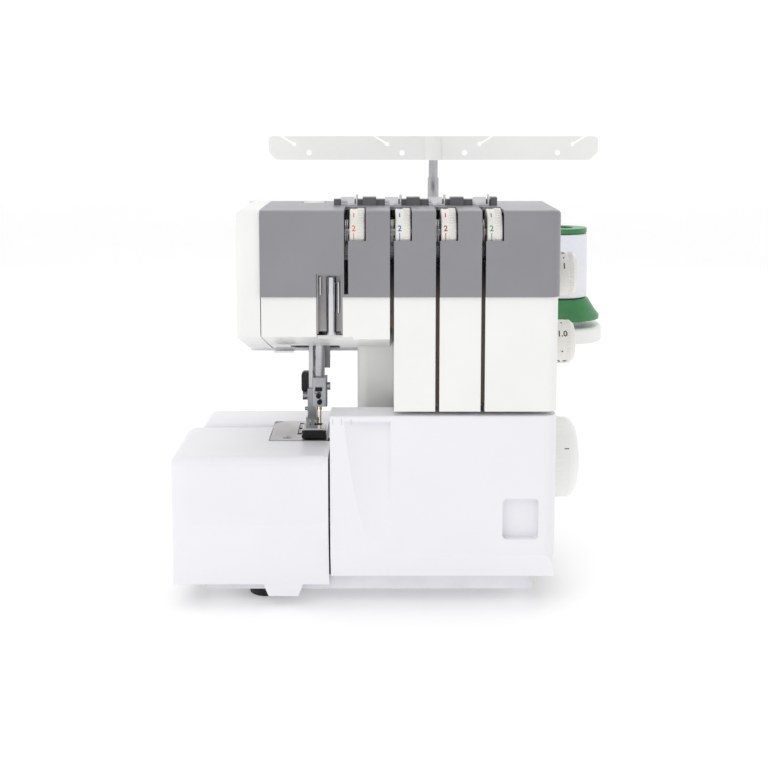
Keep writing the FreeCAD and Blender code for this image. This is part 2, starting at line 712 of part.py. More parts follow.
def make_feed_dog(label, y_low, y_high):
    """A toothed bar with two rows that reach up through the needle plate."""
    body = new_body(label)
    pad(body, "XY", bed_top - 9, 4, rectangle(-82, -71, y_low, y_high))
    for row_left in (-82, -75):
        pad(body, "XY", bed_top - 5.5, 5.7, rectangle(row_left, row_left + 4, y_low + 1, y_high - 1))
        tooth_pitch = 2.0
        for tooth in range(int((y_high - y_low - 4) / tooth_pitch)):
            near = y_low + 2 + tooth * tooth_pitch
            pocket(body, "XY", bed_top - 0.7, 2, rectangle(row_left - 0.5, row_left + 4.5, near, near + 0.8))


def make_looper_bracket():
    """The block that carries the looper shafts and the needle plate."""
    floor = frame_floor
    block = box("looper_block", -86, -52, front + 88, front + 98, floor, 62)
    post = box("plate_post", -101, -92, front + 52, front + 98, floor, bed_top - plate_thick)
    shelf = box("post_floor", -101, -52, front + 80, front + 98, floor, floor + 7)
    carrier = box("knife_carrier", cover_split + 6.6, cover_split + 30, front + 61, front + 71, 72, 84)
    leg = box("knife_carrier_leg", cover_split + 20, cover_split + 30, front + 61, front + 71, floor + 7, 72)
    holder = box("lower_knife_support", cover_split - 2.2, cover_split - 0.7, front + 84, front + 97, 60,
                 bed_top - 4)
    solid = fuse("looper_bracket_solid", [block, post, shelf, carrier, leg, holder])
    low_hole = cylinder("lower_looper_hole", "y", -76, front + 80, 50, 4 + running, 25)
    high_hole = cylinder("upper_looper_hole", "y", -58, front + 80, 50, 4 + running, 25)
    screw_hole = cylinder("plate_screw_hole", "z", plate_left + 13, plate_front + 10, bed_top - 12, 2, 14)
    knife_hole = cylinder("knife_rod_hole", "z", cover_split + 11, front + 66, 70, 3 + running, 20)
    keep("looper_bracket", cut("looper_bracket_cut", solid,
                               fuse("looper_holes", [low_hole, high_hole, screw_hole, knife_hole])))


def make_lower_looper():
    """The lower looper: a rocking shaft, an arm and a blade that points to the right."""
    y = front + 84
    shaft = cylinder("lower_looper_shaft", "y", -76, y - 8, 50, 4, 24)
    hub = cylinder("lower_looper_hub", "y", -76, y - 8, 50, 7, 10)
    arm = box("lower_looper_arm", -79, -73, y - 6, y, 54, 98)
    blade = box("lower_looper_blade", -79, -62, y - 2.4, y, 96, 100)
    keep("lower_looper", fuse("lower_looper_solid", [shaft, hub, arm, blade]))


def make_upper_looper():
    """The upper looper: a rocking shaft and an arm that leans to the left at its tip."""
    y = front + 70
    shaft = cylinder("upper_looper_shaft", "y", -58, y - 2, 50, 4, 30)
    hub = cylinder("upper_looper_hub", "y", -58, y - 2, 50, 7, 9)
    arm = box("upper_looper_arm", -60, -54, y, y + 5, 54, 96)
    blade = box("upper_looper_blade", -66, -54, y, y + 2.2, 94, 98)
    keep("upper_looper", fuse("upper_looper_solid", [shaft, hub, arm, blade]))


def make_knives():
    """The fixed lower knife, and the upper knife with its arm and driving rod."""
    low = box("lower_knife_blade", cover_split - 2.2, cover_split - 0.7, front + 60, front + 84, bed_top - 14,
              bed_top)
    keep("lower_knife", low)
    blade = box("upper_knife_blade", cover_split - 0.4, cover_split + 1.2, front + 62, front + 82, bed_top - 10,
                bed_top + 7)
    arm = box("upper_knife_arm", cover_split - 0.4, cover_split + 14, front + 62, front + 70, bed_top - 16,
              bed_top - 8)
    rod = cylinder("upper_knife_rod", "z", cover_split + 11, front + 66, 60, 3, 45)
    keep("upper_knife", fuse("upper_knife_solid", [blade, arm, rod]))


def make_needle_bar():
    """The needle bar."""
    keep("needle_bar", cylinder("needle_bar_rod", "z", needle_x, needle_y, clamp_bottom + clamp_height,
                                needle_bar_radius, 272 - clamp_bottom - clamp_height))


def make_needle_clamp():
    """The clamp block at the bar's end, with a window, two hexagon screws and a cross screw."""
    low_x, high_x = needle_x - 5.4, needle_x + 5.6
    near, far = needle_y - 7, needle_y + 5.5
    block = doc.addObject("PartDesign::Body", "clamp_block")
    pad(block, "XY", clamp_bottom, clamp_height, rectangle(low_x, high_x, near, far))
    round_edges(block, 1.2, dict(x=low_x, y=near), dict(x=high_x, y=near))
    pocket(block, "XZ", near - 1, 3, rectangle(low_x + 1.2, low_x + 6.4, clamp_bottom + 10, clamp_bottom + 13))
    screws = [cylinder(f"needle_screw_{number}", "y", needle_x + shift, near - 1.6, clamp_bottom + rise, 1.7, 1.8)
              for number, (shift, rise) in enumerate(((-1.8, 7.2), (-1.1, 3.2)))]
    cross = cylinder("needle_screw_cross", "x", high_x - 0.2, needle_y - 2, clamp_bottom + 15.5, 3, 2.6)
    keep("needle_clamp", fuse("needle_clamp_solid", [block, cross] + screws))


def make_needles():
    """Two needles side by side, each a shank, a blade and a point."""
    pieces = []
    for number, shift in enumerate((-2.7, 0.1)):
        x = needle_x + shift
        y = needle_y - 0.6 + 1.2 * number
        shank = cylinder(f"needle_{number}_shank", "z", x, y, clamp_bottom - 4, 0.95, 4)
        blade = cylinder(f"needle_{number}_blade", "z", x, y, bed_top + 3, 0.5, clamp_bottom - 4 - bed_top - 3)
        point = cone(f"needle_{number}_point", x, y, bed_top + 0.2, 0.05, 0.5, 2.8)
        pieces += [shank, blade, point]
    keep("needles", fuse("needle_pair", pieces))


def make_presser_parts():
    """The presser bar, its spring, the foot's holder and the holder's screws."""
    bar_low = 124
    keep("presser_bar", cylinder("presser_rod", "z", presser_x, presser_y, bar_low, presser_bar_radius, 156))
    spring_outer = cylinder("spring_outer", "z", presser_x, presser_y, 224.3, presser_bar_radius + 2.6, 25.2)
    spring_inner = cylinder("spring_inner", "z", presser_x, presser_y, 223, presser_bar_radius + 0.5, 28)
    keep("presser_spring", cut("spring_sleeve", spring_outer, spring_inner))
    holder_low, holder_high = 124, 147
    block = box("holder_block", presser_x - 3.7, presser_x + 3.2, presser_y - 5, presser_y + 5.5, holder_low,
                holder_high)
    tongue = box("holder_tongue", presser_x - 1.8, presser_x + 1.6, presser_y - 1.5, presser_y + 5.5,
                 119.9, holder_low)
    bar_hole = cylinder("holder_bar_hole", "z", presser_x, presser_y, holder_low, presser_bar_radius, 30)
    pin_hole = cylinder("holder_pin_hole", "x", presser_x - 5, presser_y + 2.5, 121.8, 1.5 + running, 10)
    screw = cylinder("holder_screw", "x", presser_x - 7.7, presser_y, 140.5, 3.4, 4.2)
    button = cylinder("holder_release", "x", presser_x - 6, presser_y - 2, 130.5, 1.5, 2.5)
    keep("foot_holder", cut("holder", fuse("holder_solid", [block, tongue, screw, button]),
                            fuse("holder_holes", [bar_hole, pin_hole])))


def make_presser_foot():
    """The foot's sole with its raised toe, needle slot and the two ears of its ankle."""
    body = doc.addObject("PartDesign::Body", "foot_sole")
    sole = bed_top + 0.8
    toe = front + 52
    heel = presser_y + 6.5
    profile = [(toe + 4.5, sole), (heel, sole), (heel, sole + 2.5), (toe + 6, sole + 2.5), (toe + 1, sole + 8),
               (toe, sole + 6.8)]
    foot_left, foot_right = presser_x - 5.7, cover_split - 3.4
    pad(body, "YZ", foot_left, foot_right - foot_left, profile)
    round_edges(body, 3, dict(x=foot_left, y=heel), dict(x=foot_right, y=heel))
    pocket(body, "XY", sole - 1, 8, rectangle(needle_x - 4.6, needle_x + 2.2, needle_y - 4, needle_y + 4))
    pocket(body, "XY", sole + 1.9, 3, rectangle(presser_x - 2.2, presser_x + 2, presser_y - 3, heel + 1))
    for ear in ((presser_x - 5.2, presser_x - 2.2), (presser_x + 2.0, presser_x + 5)):
        pad(body, "XY", sole + 2, 3.9, rectangle(ear[0], ear[1], presser_y - 1.5, presser_y + 6))
    pad(body, "XY", sole + 2, 4.5, rectangle(foot_left, foot_right - 1, toe + 7, toe + 24))
    pocket(body, "XY", sole + 5.2, 3, rectangle(foot_left + 3, foot_right - 4, toe + 6, toe + 25))
    pin = cylinder("ankle_pin", "x", presser_x - 5.2, presser_y + 2.5, 121.8, 1.5, 10.2)
    keep("presser_foot", fuse("foot_with_pin", [body, pin]))


def make_lifter():
    """The presser lifter: the lever on its pin and the black grip."""
    x, z = LIFTER
    y = presser_y + 8
    lever = new_body("lifter_lever")
    arm = [(x - 4.4, z + 1.2), (x + 1.2, z - 4.4), (x - 11.5, z - 22), (x - 16, z - 19)]
    pad(lever, "XZ", y, 5, arm, ())
    pad(lever, "XZ", y - 0.5, 6.5, (), [(x, z, 4.6)])
    pocket(lever, "XZ", y - 1, 9, (), [(x, z, 2 + running)])
    grip = new_body("lifter_grip")
    pad(grip, "XZ", y - 1.6, 8.2, rectangle(x - 18.5, x - 10.5, z - 28, z - 12))
    round_edges(grip, 2.4, *[dict(x=side, z=end) for side in (x - 18.5, x - 10.5) for end in (z - 28, z - 12)])
    pocket(grip, "XZ", y, 5, arm)


def make_pressure_dial():
    """The presser's pressure dial in the head's top."""
    body = new_body("pressure_dial")
    rim = pressure_radius
    spin(body, "XZ", "V_Axis", [(0, 0), (rim, 0), (rim, 5.2), (rim - 1.2, 6.4), (0, 6.4)])
    place(body, pressure_x, pressure_y, head_top - 6)
    pocket(body, "XY", 4.4, 3, rectangle(-6.5, 6.5, -1, 1))


def make_recess_parts():
    """The chrome take-up cover, and the wire guides near it, which are returned."""
    x = (recess_left + recess_right) / 2 + 1
    keep("chrome_cover", cylinder("chrome_half_round", "z", x, front + 11, head_bottom, 3.6, 42))
    hook = cylinder("wire_hook", "z", recess_left + 2.4, front + 9, 234, 0.9, 13)
    hook_foot = cylinder("wire_hook_foot", "y", recess_left + 2.4, front + 9, 246, 0.9, 5.6)
    guide = cylinder("wire_guide", "z", recess_right - 3, front + 8, 221, 0.9, 22)
    guide_foot = cylinder("wire_guide_foot", "y", recess_right - 3, front + 8, 242, 0.9, 6.6)
    plate = box("arm_guide_plate", -98, -83, front + 48, front + 66, 184.5, 186)
    return [hook, hook_foot, guide, guide_foot, plate]


# ---------------------------------------------------------------- thread tension

def make_tension_dials():
    """Four number wheels; returned are the steel discs beside them, a pair in each slot."""
    discs = []
    for index in range(4):
        edge = slot_centre(index) + slot_width / 2
        body = new_body(f"tension_dial_{index + 1}")
        hub = tension_rod_radius + running
        spin(body, "XZ", "H_Axis", [(0, hub), (dial_width, hub), (dial_width, dial_radius - 1),
                                    (dial_width - 1, dial_radius), (0.6, dial_radius), (0, dial_radius - 0.6)])
        place(body, edge + 0.9, tension_y, tension_z)
        for side in (-0.9, 0.3):
            start = slot_centre(index) + side
            outer = cylinder(f"disc_outer_{index}_{side > 0}", "x", start, tension_y, tension_z, 9.5, 0.6)
            inner = cylinder(f"disc_inner_{index}_{side > 0}", "x", start - 1, tension_y, tension_z,
                             tension_rod_radius, 3)
            discs.append(cut(f"disc_{index}_{side > 0}", outer, inner))
    return discs


def make_tension_frame():
    """The tension unit: wheels, and the rod, discs and bracket that carry them."""
    low, high = slot_centre(0) - 8, slot_centre(3) + dial_window + 6
    rod = cylinder("tension_bar", "x", low, tension_y, tension_z, tension_rod_radius, high - low)
    back_y = tension_y + dial_radius + 1.2
    back = box("tension_back", low, high, back_y, back_y + 2, 256, 286)
    cheeks = [box(f"tension_cheek_{number}", x, x + 2.5, tension_y - 6, back_y, tension_z - 9, tension_z + 8)
              for number, x in enumerate((low, high - 2.5))]
    strut = box("tension_strut", -12, 2, back_y + 1, front + 108, 256, 261)
    keep("tension_bracket", fuse("tension_bracket_solid", [back, strut, rod] + cheeks + make_tension_dials()))


def make_thread_channels():
    """The dark channels behind the long slots."""
    channels = []
    for index in (1, 2, 3):
        low = head_bottom + 4 if index == 1 else column_bottom + wall + 0.3
        x = slot_centre(index)
        reach = 1.4 if index == 1 else 4.2
        outer = box(f"channel_outer_{index}", x - 4.2, x + reach, head_front + wall + 0.1, front + 17, low, 256)
        inner = box(f"channel_inner_{index}", x - 3, x + 3, head_front, front + 15.8, low - 1, 260)
        channels.append(cut(f"channel_{index}", outer, inner))
    keep("thread_channels", fuse("channels", channels))


def make_top_guides():
    """The grey guide bar across the head's top and its four steel thread guides."""
    near, far = front + 56, front + 66
    low, high = slot_centre(0) - 10.6, slot_centre(3) + 13.3
    bar = box("guide_strip", low, high, near, far, head_top, head_top + 4.4)
    blocks = [box(f"guide_block_{index}", slot_centre(index) + 11, slot_centre(index) + 21, near - 3, far,
                  head_top, head_top + 6) for index in range(3)]
    end = box("guide_block_end", high - 4.6, high, near - 3, far, head_top, head_top + 6)
    keep("guide_bar", fuse("guide_bar_solid", [bar, end] + blocks))
    guides = []
    for index in range(4):
        x = slot_centre(index)
        foot = box(f"top_guide_foot_{index}", x - 5, x + 5, near - 6, near - 0.1, head_top, head_top + 1.2)
        stand = box(f"top_guide_stand_{index}", x - 5, x + 5, near - 2, near - 0.6, head_top + 1, head_top + 6.4)
        wire = cylinder(f"top_guide_wire_{index}", "z", x + 6.6, near - 4, head_top, 0.8, 8.4)
        wire_foot = box(f"top_guide_link_{index}", x + 4, x + 7, near - 5, near - 3, head_top, head_top + 1.2)
        guides.append(fuse(f"top_guide_{index}", [foot, stand, wire, wire_foot]))
    keep("steel_thread_guides", fuse("steel_guides", guides + make_recess_parts()))


# ---------------------------------------------------------------- drive

def make_shaft_parts():
    """The main shaft with the handwheel and the driven pulley."""
    shaft = cylinder("shaft", "x", -34, shaft_y, shaft_z, shaft_radius, right + 9 + 34)
    wheel = new_body("handwheel")
    rim = wheel_radius
    profile = [(0, shaft_radius), (9, shaft_radius), (9, 0), (wheel_width + 1, 0), (wheel_width, rim * 0.45),
               (wheel_width - 2.4, rim * 0.8), (wheel_width - 6, rim - 1.2), (wheel_width - 9, rim), (3, rim),
               (1.5, rim - 1), (1.5, rim - 3), (4, rim - 3.5), (4, shaft_radius + 5), (0, shaft_radius + 5)]
    spin(wheel, "XZ", "H_Axis", profile)
    place(wheel, right, shaft_y, shaft_z)
    pulley = doc.addObject("PartDesign::Body", "shaft_pulley")
    spin(pulley, "XZ", "H_Axis", pulley_profile(pulley_radius, shaft_radius))
    place(pulley, 92, shaft_y, shaft_z)
    keep("main_shaft", fuse("shaft_with_pulley", [shaft, pulley]))


def pulley_profile(radius, bore):
    """A flanged pulley, 8 mm wide, as length along the axis and radius."""
    return [(0, bore), (8, bore), (8, radius + 1.6), (6.8, radius + 1.6), (6.4, radius), (1.6, radius),
            (1.2, radius + 1.6), (0, radius + 1.6)]


def make_motor():
    """The motor, with its spindle and small pulley."""
    can = cylinder("motor_can", "x", 22, motor_y, motor_z, motor_radius, 60)
    caps = [cylinder(f"motor_cap_{number}", "x", x, motor_y, motor_z, 17, 4) for number, x in enumerate((18, 82))]
    bore = cylinder("motor_bore", "x", 10, motor_y, motor_z, 3 + running, 90)
    keep("motor", cut("motor_solid", fuse("motor_cans", [can] + caps), bore))
    spindle = cylinder("motor_spindle", "x", 20, motor_y, motor_z, 3, 81)
    pulley = doc.addObject("PartDesign::Body", "motor_pulley_wheel")
    spin(pulley, "XZ", "H_Axis", pulley_profile(motor_pulley_radius, 3))
    place(pulley, 92, motor_y, motor_z)
    keep("motor_pulley", fuse("spindle_with_pulley", [spindle, pulley]))


def make_belt():
    """The drive belt: the outline round both pulleys, less the same outline at the pulleys' faces."""
    gap = 0.3
    across = Vector(0, motor_y.value - shaft_y.value, motor_z.value - shaft_z.value)
    loops = []
    for growth in (gap, gap + belt_thick.value):
        big = pulley_radius.value + growth
        small = motor_pulley_radius.value + growth
        lean = math.asin((big - small) / across.Length)
        heading = math.atan2(across.z, across.y)
        points = []
        for side in (1, -1):
            angle = heading + side * (math.pi / 2 - lean)
            outward = Vector(0, math.cos(angle), math.sin(angle))
            points.append((outward * big, across + outward * small))
        (big_a, small_a), (big_b, small_b) = points
        unit = Vector(across).normalize()
        edges = [Part.Arc(big_a, unit * -big, big_b).toShape(), Part.LineSegment(big_b, small_b).toShape(),
                 Part.Arc(small_b, across + unit * small, small_a).toShape(),
                 Part.LineSegment(small_a, big_a).toShape()]
        loops.append(Part.Face(Part.Wire(edges)).extrude(Vector(4.2, 0, 0)))
    belt = doc.addObject("Part::Feature", "belt_loop")
    belt.Shape = loops[1].cut(loops[0])
    belt.Placement = Placement(Vector(93.9, shaft_y.value, shaft_z.value), Rotation())
    keep("drive_belt", belt)


def make_electrics():
    """The mains inlet and the rocker switch in its frame, in the right-hand wall."""
    wall_out = right - 0.5
    shell = box("inlet_shell", wall_out - 18, wall_out + 1.5, -5.7, 19.7, 28.3, 45.7)
    socket = box("inlet_socket", wall_out - 12, wall_out + 3, -2.5, 16.5, 31, 43)
    pins = [cylinder(f"inlet_pin_{number}", "x", wall_out - 13, y, 37, 1.2, 9) for number, y in enumerate((2, 7, 12))]
    keep("mains_inlet", fuse("inlet", [cut("inlet_hollow", shell, socket)] + pins))
    frame = box("switch_shell", wall_out - 14, wall_out + 1.5, -5.7, 15.7, 121.3, 140.7)
    hollow = box("switch_hollow", wall_out - 12, wall_out + 3, -3.5, 13.5, 123.3, 138.7)
    ears = [cylinder(f"switch_pin_{number}", "y", wall_out - 3, y, 131, 1.5, 1.4) for number, y in
            enumerate((-3.6, 12.2))]
    keep("switch_frame", fuse("switch_housing", [cut("switch_shell_cut", frame, hollow)] + ears))
    rocker = new_body("power_rocker")
    x, z = wall_out - 3, 131
    outline = [(x - 5, z - 3), (x + 2, z - 6.4), (x + 3.2, z), (x + 6.2, z + 6.4), (x - 5, z + 3)]
    pad(rocker, "XZ", -2, 14, outline)
    pocket(rocker, "XZ", -2.5, 16, (), [(x, z, 1.5 + running)])


def make_side_dials():
    """The stitch-length dial and the differential-feed dial, each with a ribbed outer ring."""
    for label, z, start in (("stitch_length_dial", stitch_z, right + 1.4), ("feed_dial", feed_z, right + 0.4)):
        body = new_body(label)
        rim = side_dial_radius
        long = side_dial_width
        profile = [(-7, 0), (-7, 3.5), (0, 3.5), (0, rim), (long * 0.55, rim), (long * 0.58, rim - 0.5),
                   (long - 3.5, rim - 0.5), (long - 1, rim - 2.5), (long, rim - 6), (long, 0)]
        spin(body, "XZ", "H_Axis", profile)
        place(body, start, side_dial_y, z)


# ---------------------------------------------------------------- spool stand and thread tree

def pin_places():
    """The four spool pins, as seen from above."""
    outer = [(tree_x + side * outer_pin, outer_pin_y) for side in (-1, 1)]
    inner = [(tree_x + side * inner_pin, inner_pin_y) for side in (-1, 1)]
    return [outer[0], inner[0], inner[1], outer[1]]


def make_spool_stand():
    """The tray behind the machine, hollow underneath, with a seat for the mast."""
    body = new_body("spool_stand")
    low_x, high_x = tree_x - stand_half, tree_x + stand_half
    low = stand_top - stand_thick
    pad(body, "XY", low, stand_thick, rectangle(low_x, high_x, stand_front, stand_rear))
    corners = [dict(x=x, y=y) for x in (low_x, high_x) for y in (stand_front, stand_rear)]
    round_edges(body, 36, *corners)
    round_edges(body, 3, dict(z=stand_top, y=stand_front))
    rim = wall + 2
    inner = rectangle(low_x + 22, high_x - 22, stand_front + rim, stand_rear - rim)
    pocket(body, "XY", low - 1, stand_thick + 1 - wall, inner)
    pad(body, "XY", low, stand_thick - 1, (), [(tree_x, tree_y, mast_radius + 4)])
    for x, y in pin_places():
        pad(body, "XY", low, stand_thick - 1, (), [(x, y, pin_radius + 4)])
    pocket(body, "XY", low - 1, stand_thick + 3, (), [(tree_x, tree_y, mast_radius)])
    pad(body, "XY", 140, stand_top - 140, rectangle(tree_x - 24, tree_x + 24, rear + 0.1, stand_front + 3))


def make_spool_pins():
    """Four spool pins and the stepped cone holders on them."""
    pins = [cylinder(f"pin_{number}", "z", x, y, stand_top, pin_radius, pin_height)
            for number, (x, y) in enumerate(pin_places())]
    keep("spool_pins", fuse("pins", pins))
    holders = []
    for number, (x, y) in enumerate(pin_places()):
        base = cylinder(f"holder_base_{number}", "z", x, y, stand_top, 20, 5.8)
        core = cone(f"holder_cone_{number}", x, y, stand_top + 5.8, 15.8, 10.4, 18)
        hole = cylinder(f"holder_hole_{number}", "z", x, y, stand_top - 1, pin_radius, 30)
        holders.append(cut(f"holder_{number}", fuse(f"holder_pair_{number}", [base, core]), hole))
    keep("cone_holders", fuse("holder_set", holders))


def make_thread_cone():
    """The cone on the right-hand pin: a flared core and the thread wound on it."""
    x, y = pin_places()[3]
    core = new_body("cone_core")
    core_radius, flare = cone_radius - 9, cone_radius + 11
    profile = [(16.5, 0), (flare, 0), (flare, 3), (flare - 4, 8), (cone_radius + 1.5, 17), (core_radius, 19),
               (core_radius, 72.6), (cone_radius - 0.4, 73), (cone_radius - 0.4, 77), (core_radius - 3, 77),
               (core_radius - 3, 20), (16.5, 6)]
    spin(core, "XZ", "V_Axis", profile)
    place(core, x, y, stand_top + 6)
    thread = new_body("wound_thread")
    spin(thread, "XZ", "V_Axis", [(core_radius, 20.6), (cone_radius + 0.6, 18.6), (cone_radius, 72.2),
                                  (core_radius, 72.2)])
    place(thread, x, y, stand_top + 6)


def make_mast():
    """The telescopic mast: a fixed tube, a sliding tube and a sliding rod."""
    foot = stand_top - stand_thick
    pipes = (("mast_tube", foot, mast_top, mast_radius, mid_tube_radius),
             ("mid_tube", foot + 25, mid_tube_top, mid_tube_radius, top_rod_radius))
    for label, low, high, radius, inside in pipes:
        outer = cylinder(label + "_outer", "z", tree_x, tree_y, low, radius, high - low)
        inner = cylinder(label + "_inner", "z", tree_x, tree_y, low - 1, inside + running, high - low + 2)
        keep(label, cut(label + "_pipe", outer, inner))
    keep("top_rod", cylinder("top_rod_bar", "z", tree_x, tree_y, foot + 55, top_rod_radius,
                             tree_bottom + 17 - foot - 55))


def make_tree_bar():
    """The long thread guide: a cut plate with eight eyelets, on a sleeve that turns on the rod."""
    body = new_body("tree_bar")
    low, high = tree_bottom, tree_bottom + tree_height
    ends = (tree_x - tree_half, tree_x + tree_half)
    outline = [(ends[0] + 6.5, low), (ends[1] - 6.5, low), (ends[1], low + 6.5), (ends[1], high),
               (ends[0], high), (ends[0], low + 6.5)]
    pad(body, "XZ", tree_y - tree_thick / 2, tree_thick, outline)
    round_edges(body, 3, dict(x=ends[0], z=high), dict(x=ends[1], z=high))
    pad(body, "XY", low, tree_height, (), [(tree_x, tree_y, top_rod_radius + 3)])
    for side in (-1, 1):
        for reach in (26, 103.5):
            x = tree_x + side * reach
            slit_x = tree_x + side * (reach + 12.4)
            start_x = tree_x + side * (reach + 25.4)
            eyelets = [(x, low + 6, 2.1), (slit_x, high - 6.6, 1.7)]
            for eyelet in eyelets:
                pocket(body, "XZ", tree_y - tree_thick, tree_thick * 2, (), [eyelet])
            slit = [(slit_x - side * 1.2, high - 6.6), (slit_x + side * 1.2, high - 6.6),
                    (start_x + side * 1.2, high + 1.5), (start_x - side * 1.2, high + 1.5)]
            pocket(body, "XZ", tree_y - tree_thick, tree_thick * 2, slit)
    pocket(body, "XY", low - 1, 19, (), [(tree_x, tree_y, top_rod_radius + running)])


def make_casing_screws():
    """Six screws in the back of the casings and the countersunk one of the needle plate."""
    spots = [(pillar_left + 9, 40), (right - 10, 40), (pillar_left + 9, 190), (right - 10, 190),
             (left + 20, 100), (-45, 100)]
    screws = [cylinder(f"rear_screw_{number}", "y", x, rear, z, 3.4, 1.8) for number, (x, z) in enumerate(spots)]
    x, y = plate_left + 13, plate_front + 10
    head = cone("plate_screw_head", x, y, bed_top - 1.2, 2.0, 3.4, 1.8)
    stem = cylinder("plate_screw_stem", "z", x, y, bed_top - 9, 2, 8)
    keep("screws", fuse("screw_set", screws + [head, stem]))


# ---------------------------------------------------------------- build, check and write

def check_model():
    """Stop if any object failed or any sub-part has no valid shape."""
    doc.recompute()
    for thing in doc.Objects:
        if "Invalid" in thing.State or "Error" in thing.State:
            raise RuntimeError(f"{thing.Name} ({thing.Label}) failed: {thing.State}")
    for label, thing in nodes.items():
        if thing.Shape.isNull() or not thing.Shape.isValid() or not thing.Shape.Solids:
            raise RuntimeError(f"{label} has no valid solid")


def write_parts():
    """Write one STEP file for each sub-part."""
    os.makedirs("parts", exist_ok=True)
    for label, thing in nodes.items():
        thing.Shape.exportStep(f"parts/{label}.step")
        reach = thing.Shape.BoundBox
        print(f"{label}: {len(thing.Shape.Solids)} solid(s), X {reach.XMin:.1f} to {reach.XMax:.1f}, "
              f"Y {reach.YMin:.1f} to {reach.YMax:.1f}, Z {reach.ZMin:.1f} to {reach.ZMax:.1f}")


doc.recompute()
for make in (make_base_tray, make_feet, make_main_frame, make_side_cover, make_bed_rear, make_front_cover,
             make_door_bracket, make_main_casing, make_face_cover, make_head_cover,
             make_grey_panel, make_recess_liner, make_rear_cover, make_needle_plate,
             make_looper_bracket, make_lower_looper, make_upper_looper, make_knives,
             make_needle_bar, make_needle_clamp, make_needles, make_presser_parts,
             make_presser_foot, make_lifter, make_pressure_dial,
             make_tension_frame, make_thread_channels, make_top_guides, make_shaft_parts, make_motor,
             make_belt, make_electrics, make_side_dials, make_spool_stand, make_spool_pins,
             make_thread_cone, make_mast, make_tree_bar, make_casing_screws):
    make()
make_feed_dog("main_feed_dog", -34, -21)
make_feed_dog("differential_feed_dog", -52, -38)
check_model()
write_parts()
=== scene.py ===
"""Looks for a four-thread overlock machine: finishes for its CAD parts, and the fine pieces built on them.

Everything is in metres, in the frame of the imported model. Sizes in the classes below are in millimetres.
"""

import logging
import math
from dataclasses import dataclass, field
from enum import Enum
from typing import Callable, Iterable, Sequence

import bmesh
import bpy
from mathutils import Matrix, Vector


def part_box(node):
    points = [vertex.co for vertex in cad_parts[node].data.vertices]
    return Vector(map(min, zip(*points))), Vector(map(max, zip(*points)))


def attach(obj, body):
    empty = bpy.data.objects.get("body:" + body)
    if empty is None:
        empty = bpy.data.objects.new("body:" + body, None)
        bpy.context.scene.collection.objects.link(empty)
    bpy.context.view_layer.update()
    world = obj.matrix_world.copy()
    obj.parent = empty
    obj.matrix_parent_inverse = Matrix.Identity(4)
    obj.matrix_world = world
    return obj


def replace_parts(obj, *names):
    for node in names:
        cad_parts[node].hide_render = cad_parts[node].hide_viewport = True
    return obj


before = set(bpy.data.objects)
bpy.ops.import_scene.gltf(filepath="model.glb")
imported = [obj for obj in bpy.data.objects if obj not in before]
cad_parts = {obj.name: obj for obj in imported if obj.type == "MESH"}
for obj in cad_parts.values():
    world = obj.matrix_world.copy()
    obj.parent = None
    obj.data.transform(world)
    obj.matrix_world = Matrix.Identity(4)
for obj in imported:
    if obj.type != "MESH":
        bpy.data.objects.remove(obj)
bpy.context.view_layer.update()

MM = 0.001
log = logging.getLogger("overlock")

Point = tuple[float, float, float]
Pair = tuple[float, float]


# ---------------------------------------------------------------- finishes


def linear(code: str) -> tuple[float, float, float, float]:
    """Turn an sRGB hex colour into linear light.

    Args:
        code: the colour as "#RRGGBB".

    Returns:
        Red, green, blue and alpha, each 0 to 1.
    """
    parts = [int(code[at : at + 2], 16) / 255 for at in (1, 3, 5)]
    light = [part / 12.92 if part <= 0.04045 else ((part + 0.055) / 1.055) ** 2.4 for part in parts]
    return (*light, 1.0)


def add_node(tree: bpy.types.NodeTree, kind: str, inputs: dict, **settings: object) -> bpy.types.Node:
    """Add a node with its settings, values and links.

    Args:
        tree: the node tree it goes into.
        kind: the node's type.
        inputs: for each input, by name or number, its value or the socket that feeds it.
        settings: properties of the node itself.

    Returns:
        The new node.
    """
    node = tree.nodes.new(kind)
    for name, value in settings.items():
        setattr(node, name, value)
    for name, value in inputs.items():
        if isinstance(value, bpy.types.NodeSocket):
            tree.links.new(value, node.inputs[name])
        else:
            node.inputs[name].default_value = value
    return node


class Grain(Enum):
    """How a surface's fine pattern runs: its stretch along X, Y and Z."""

    EVEN = (1.0, 1.0, 1.0)
    ALONG_X = (0.04, 1.0, 1.0)
    ALONG_Z = (1.0, 1.0, 0.04)
    ROUND_Z = (0.05, 0.05, 1.0)


@dataclass(frozen=True)
class Fade:
    """A second colour that takes over towards the bottom of a part."""

    colour: str
    starts_z: float
    ends_z: float


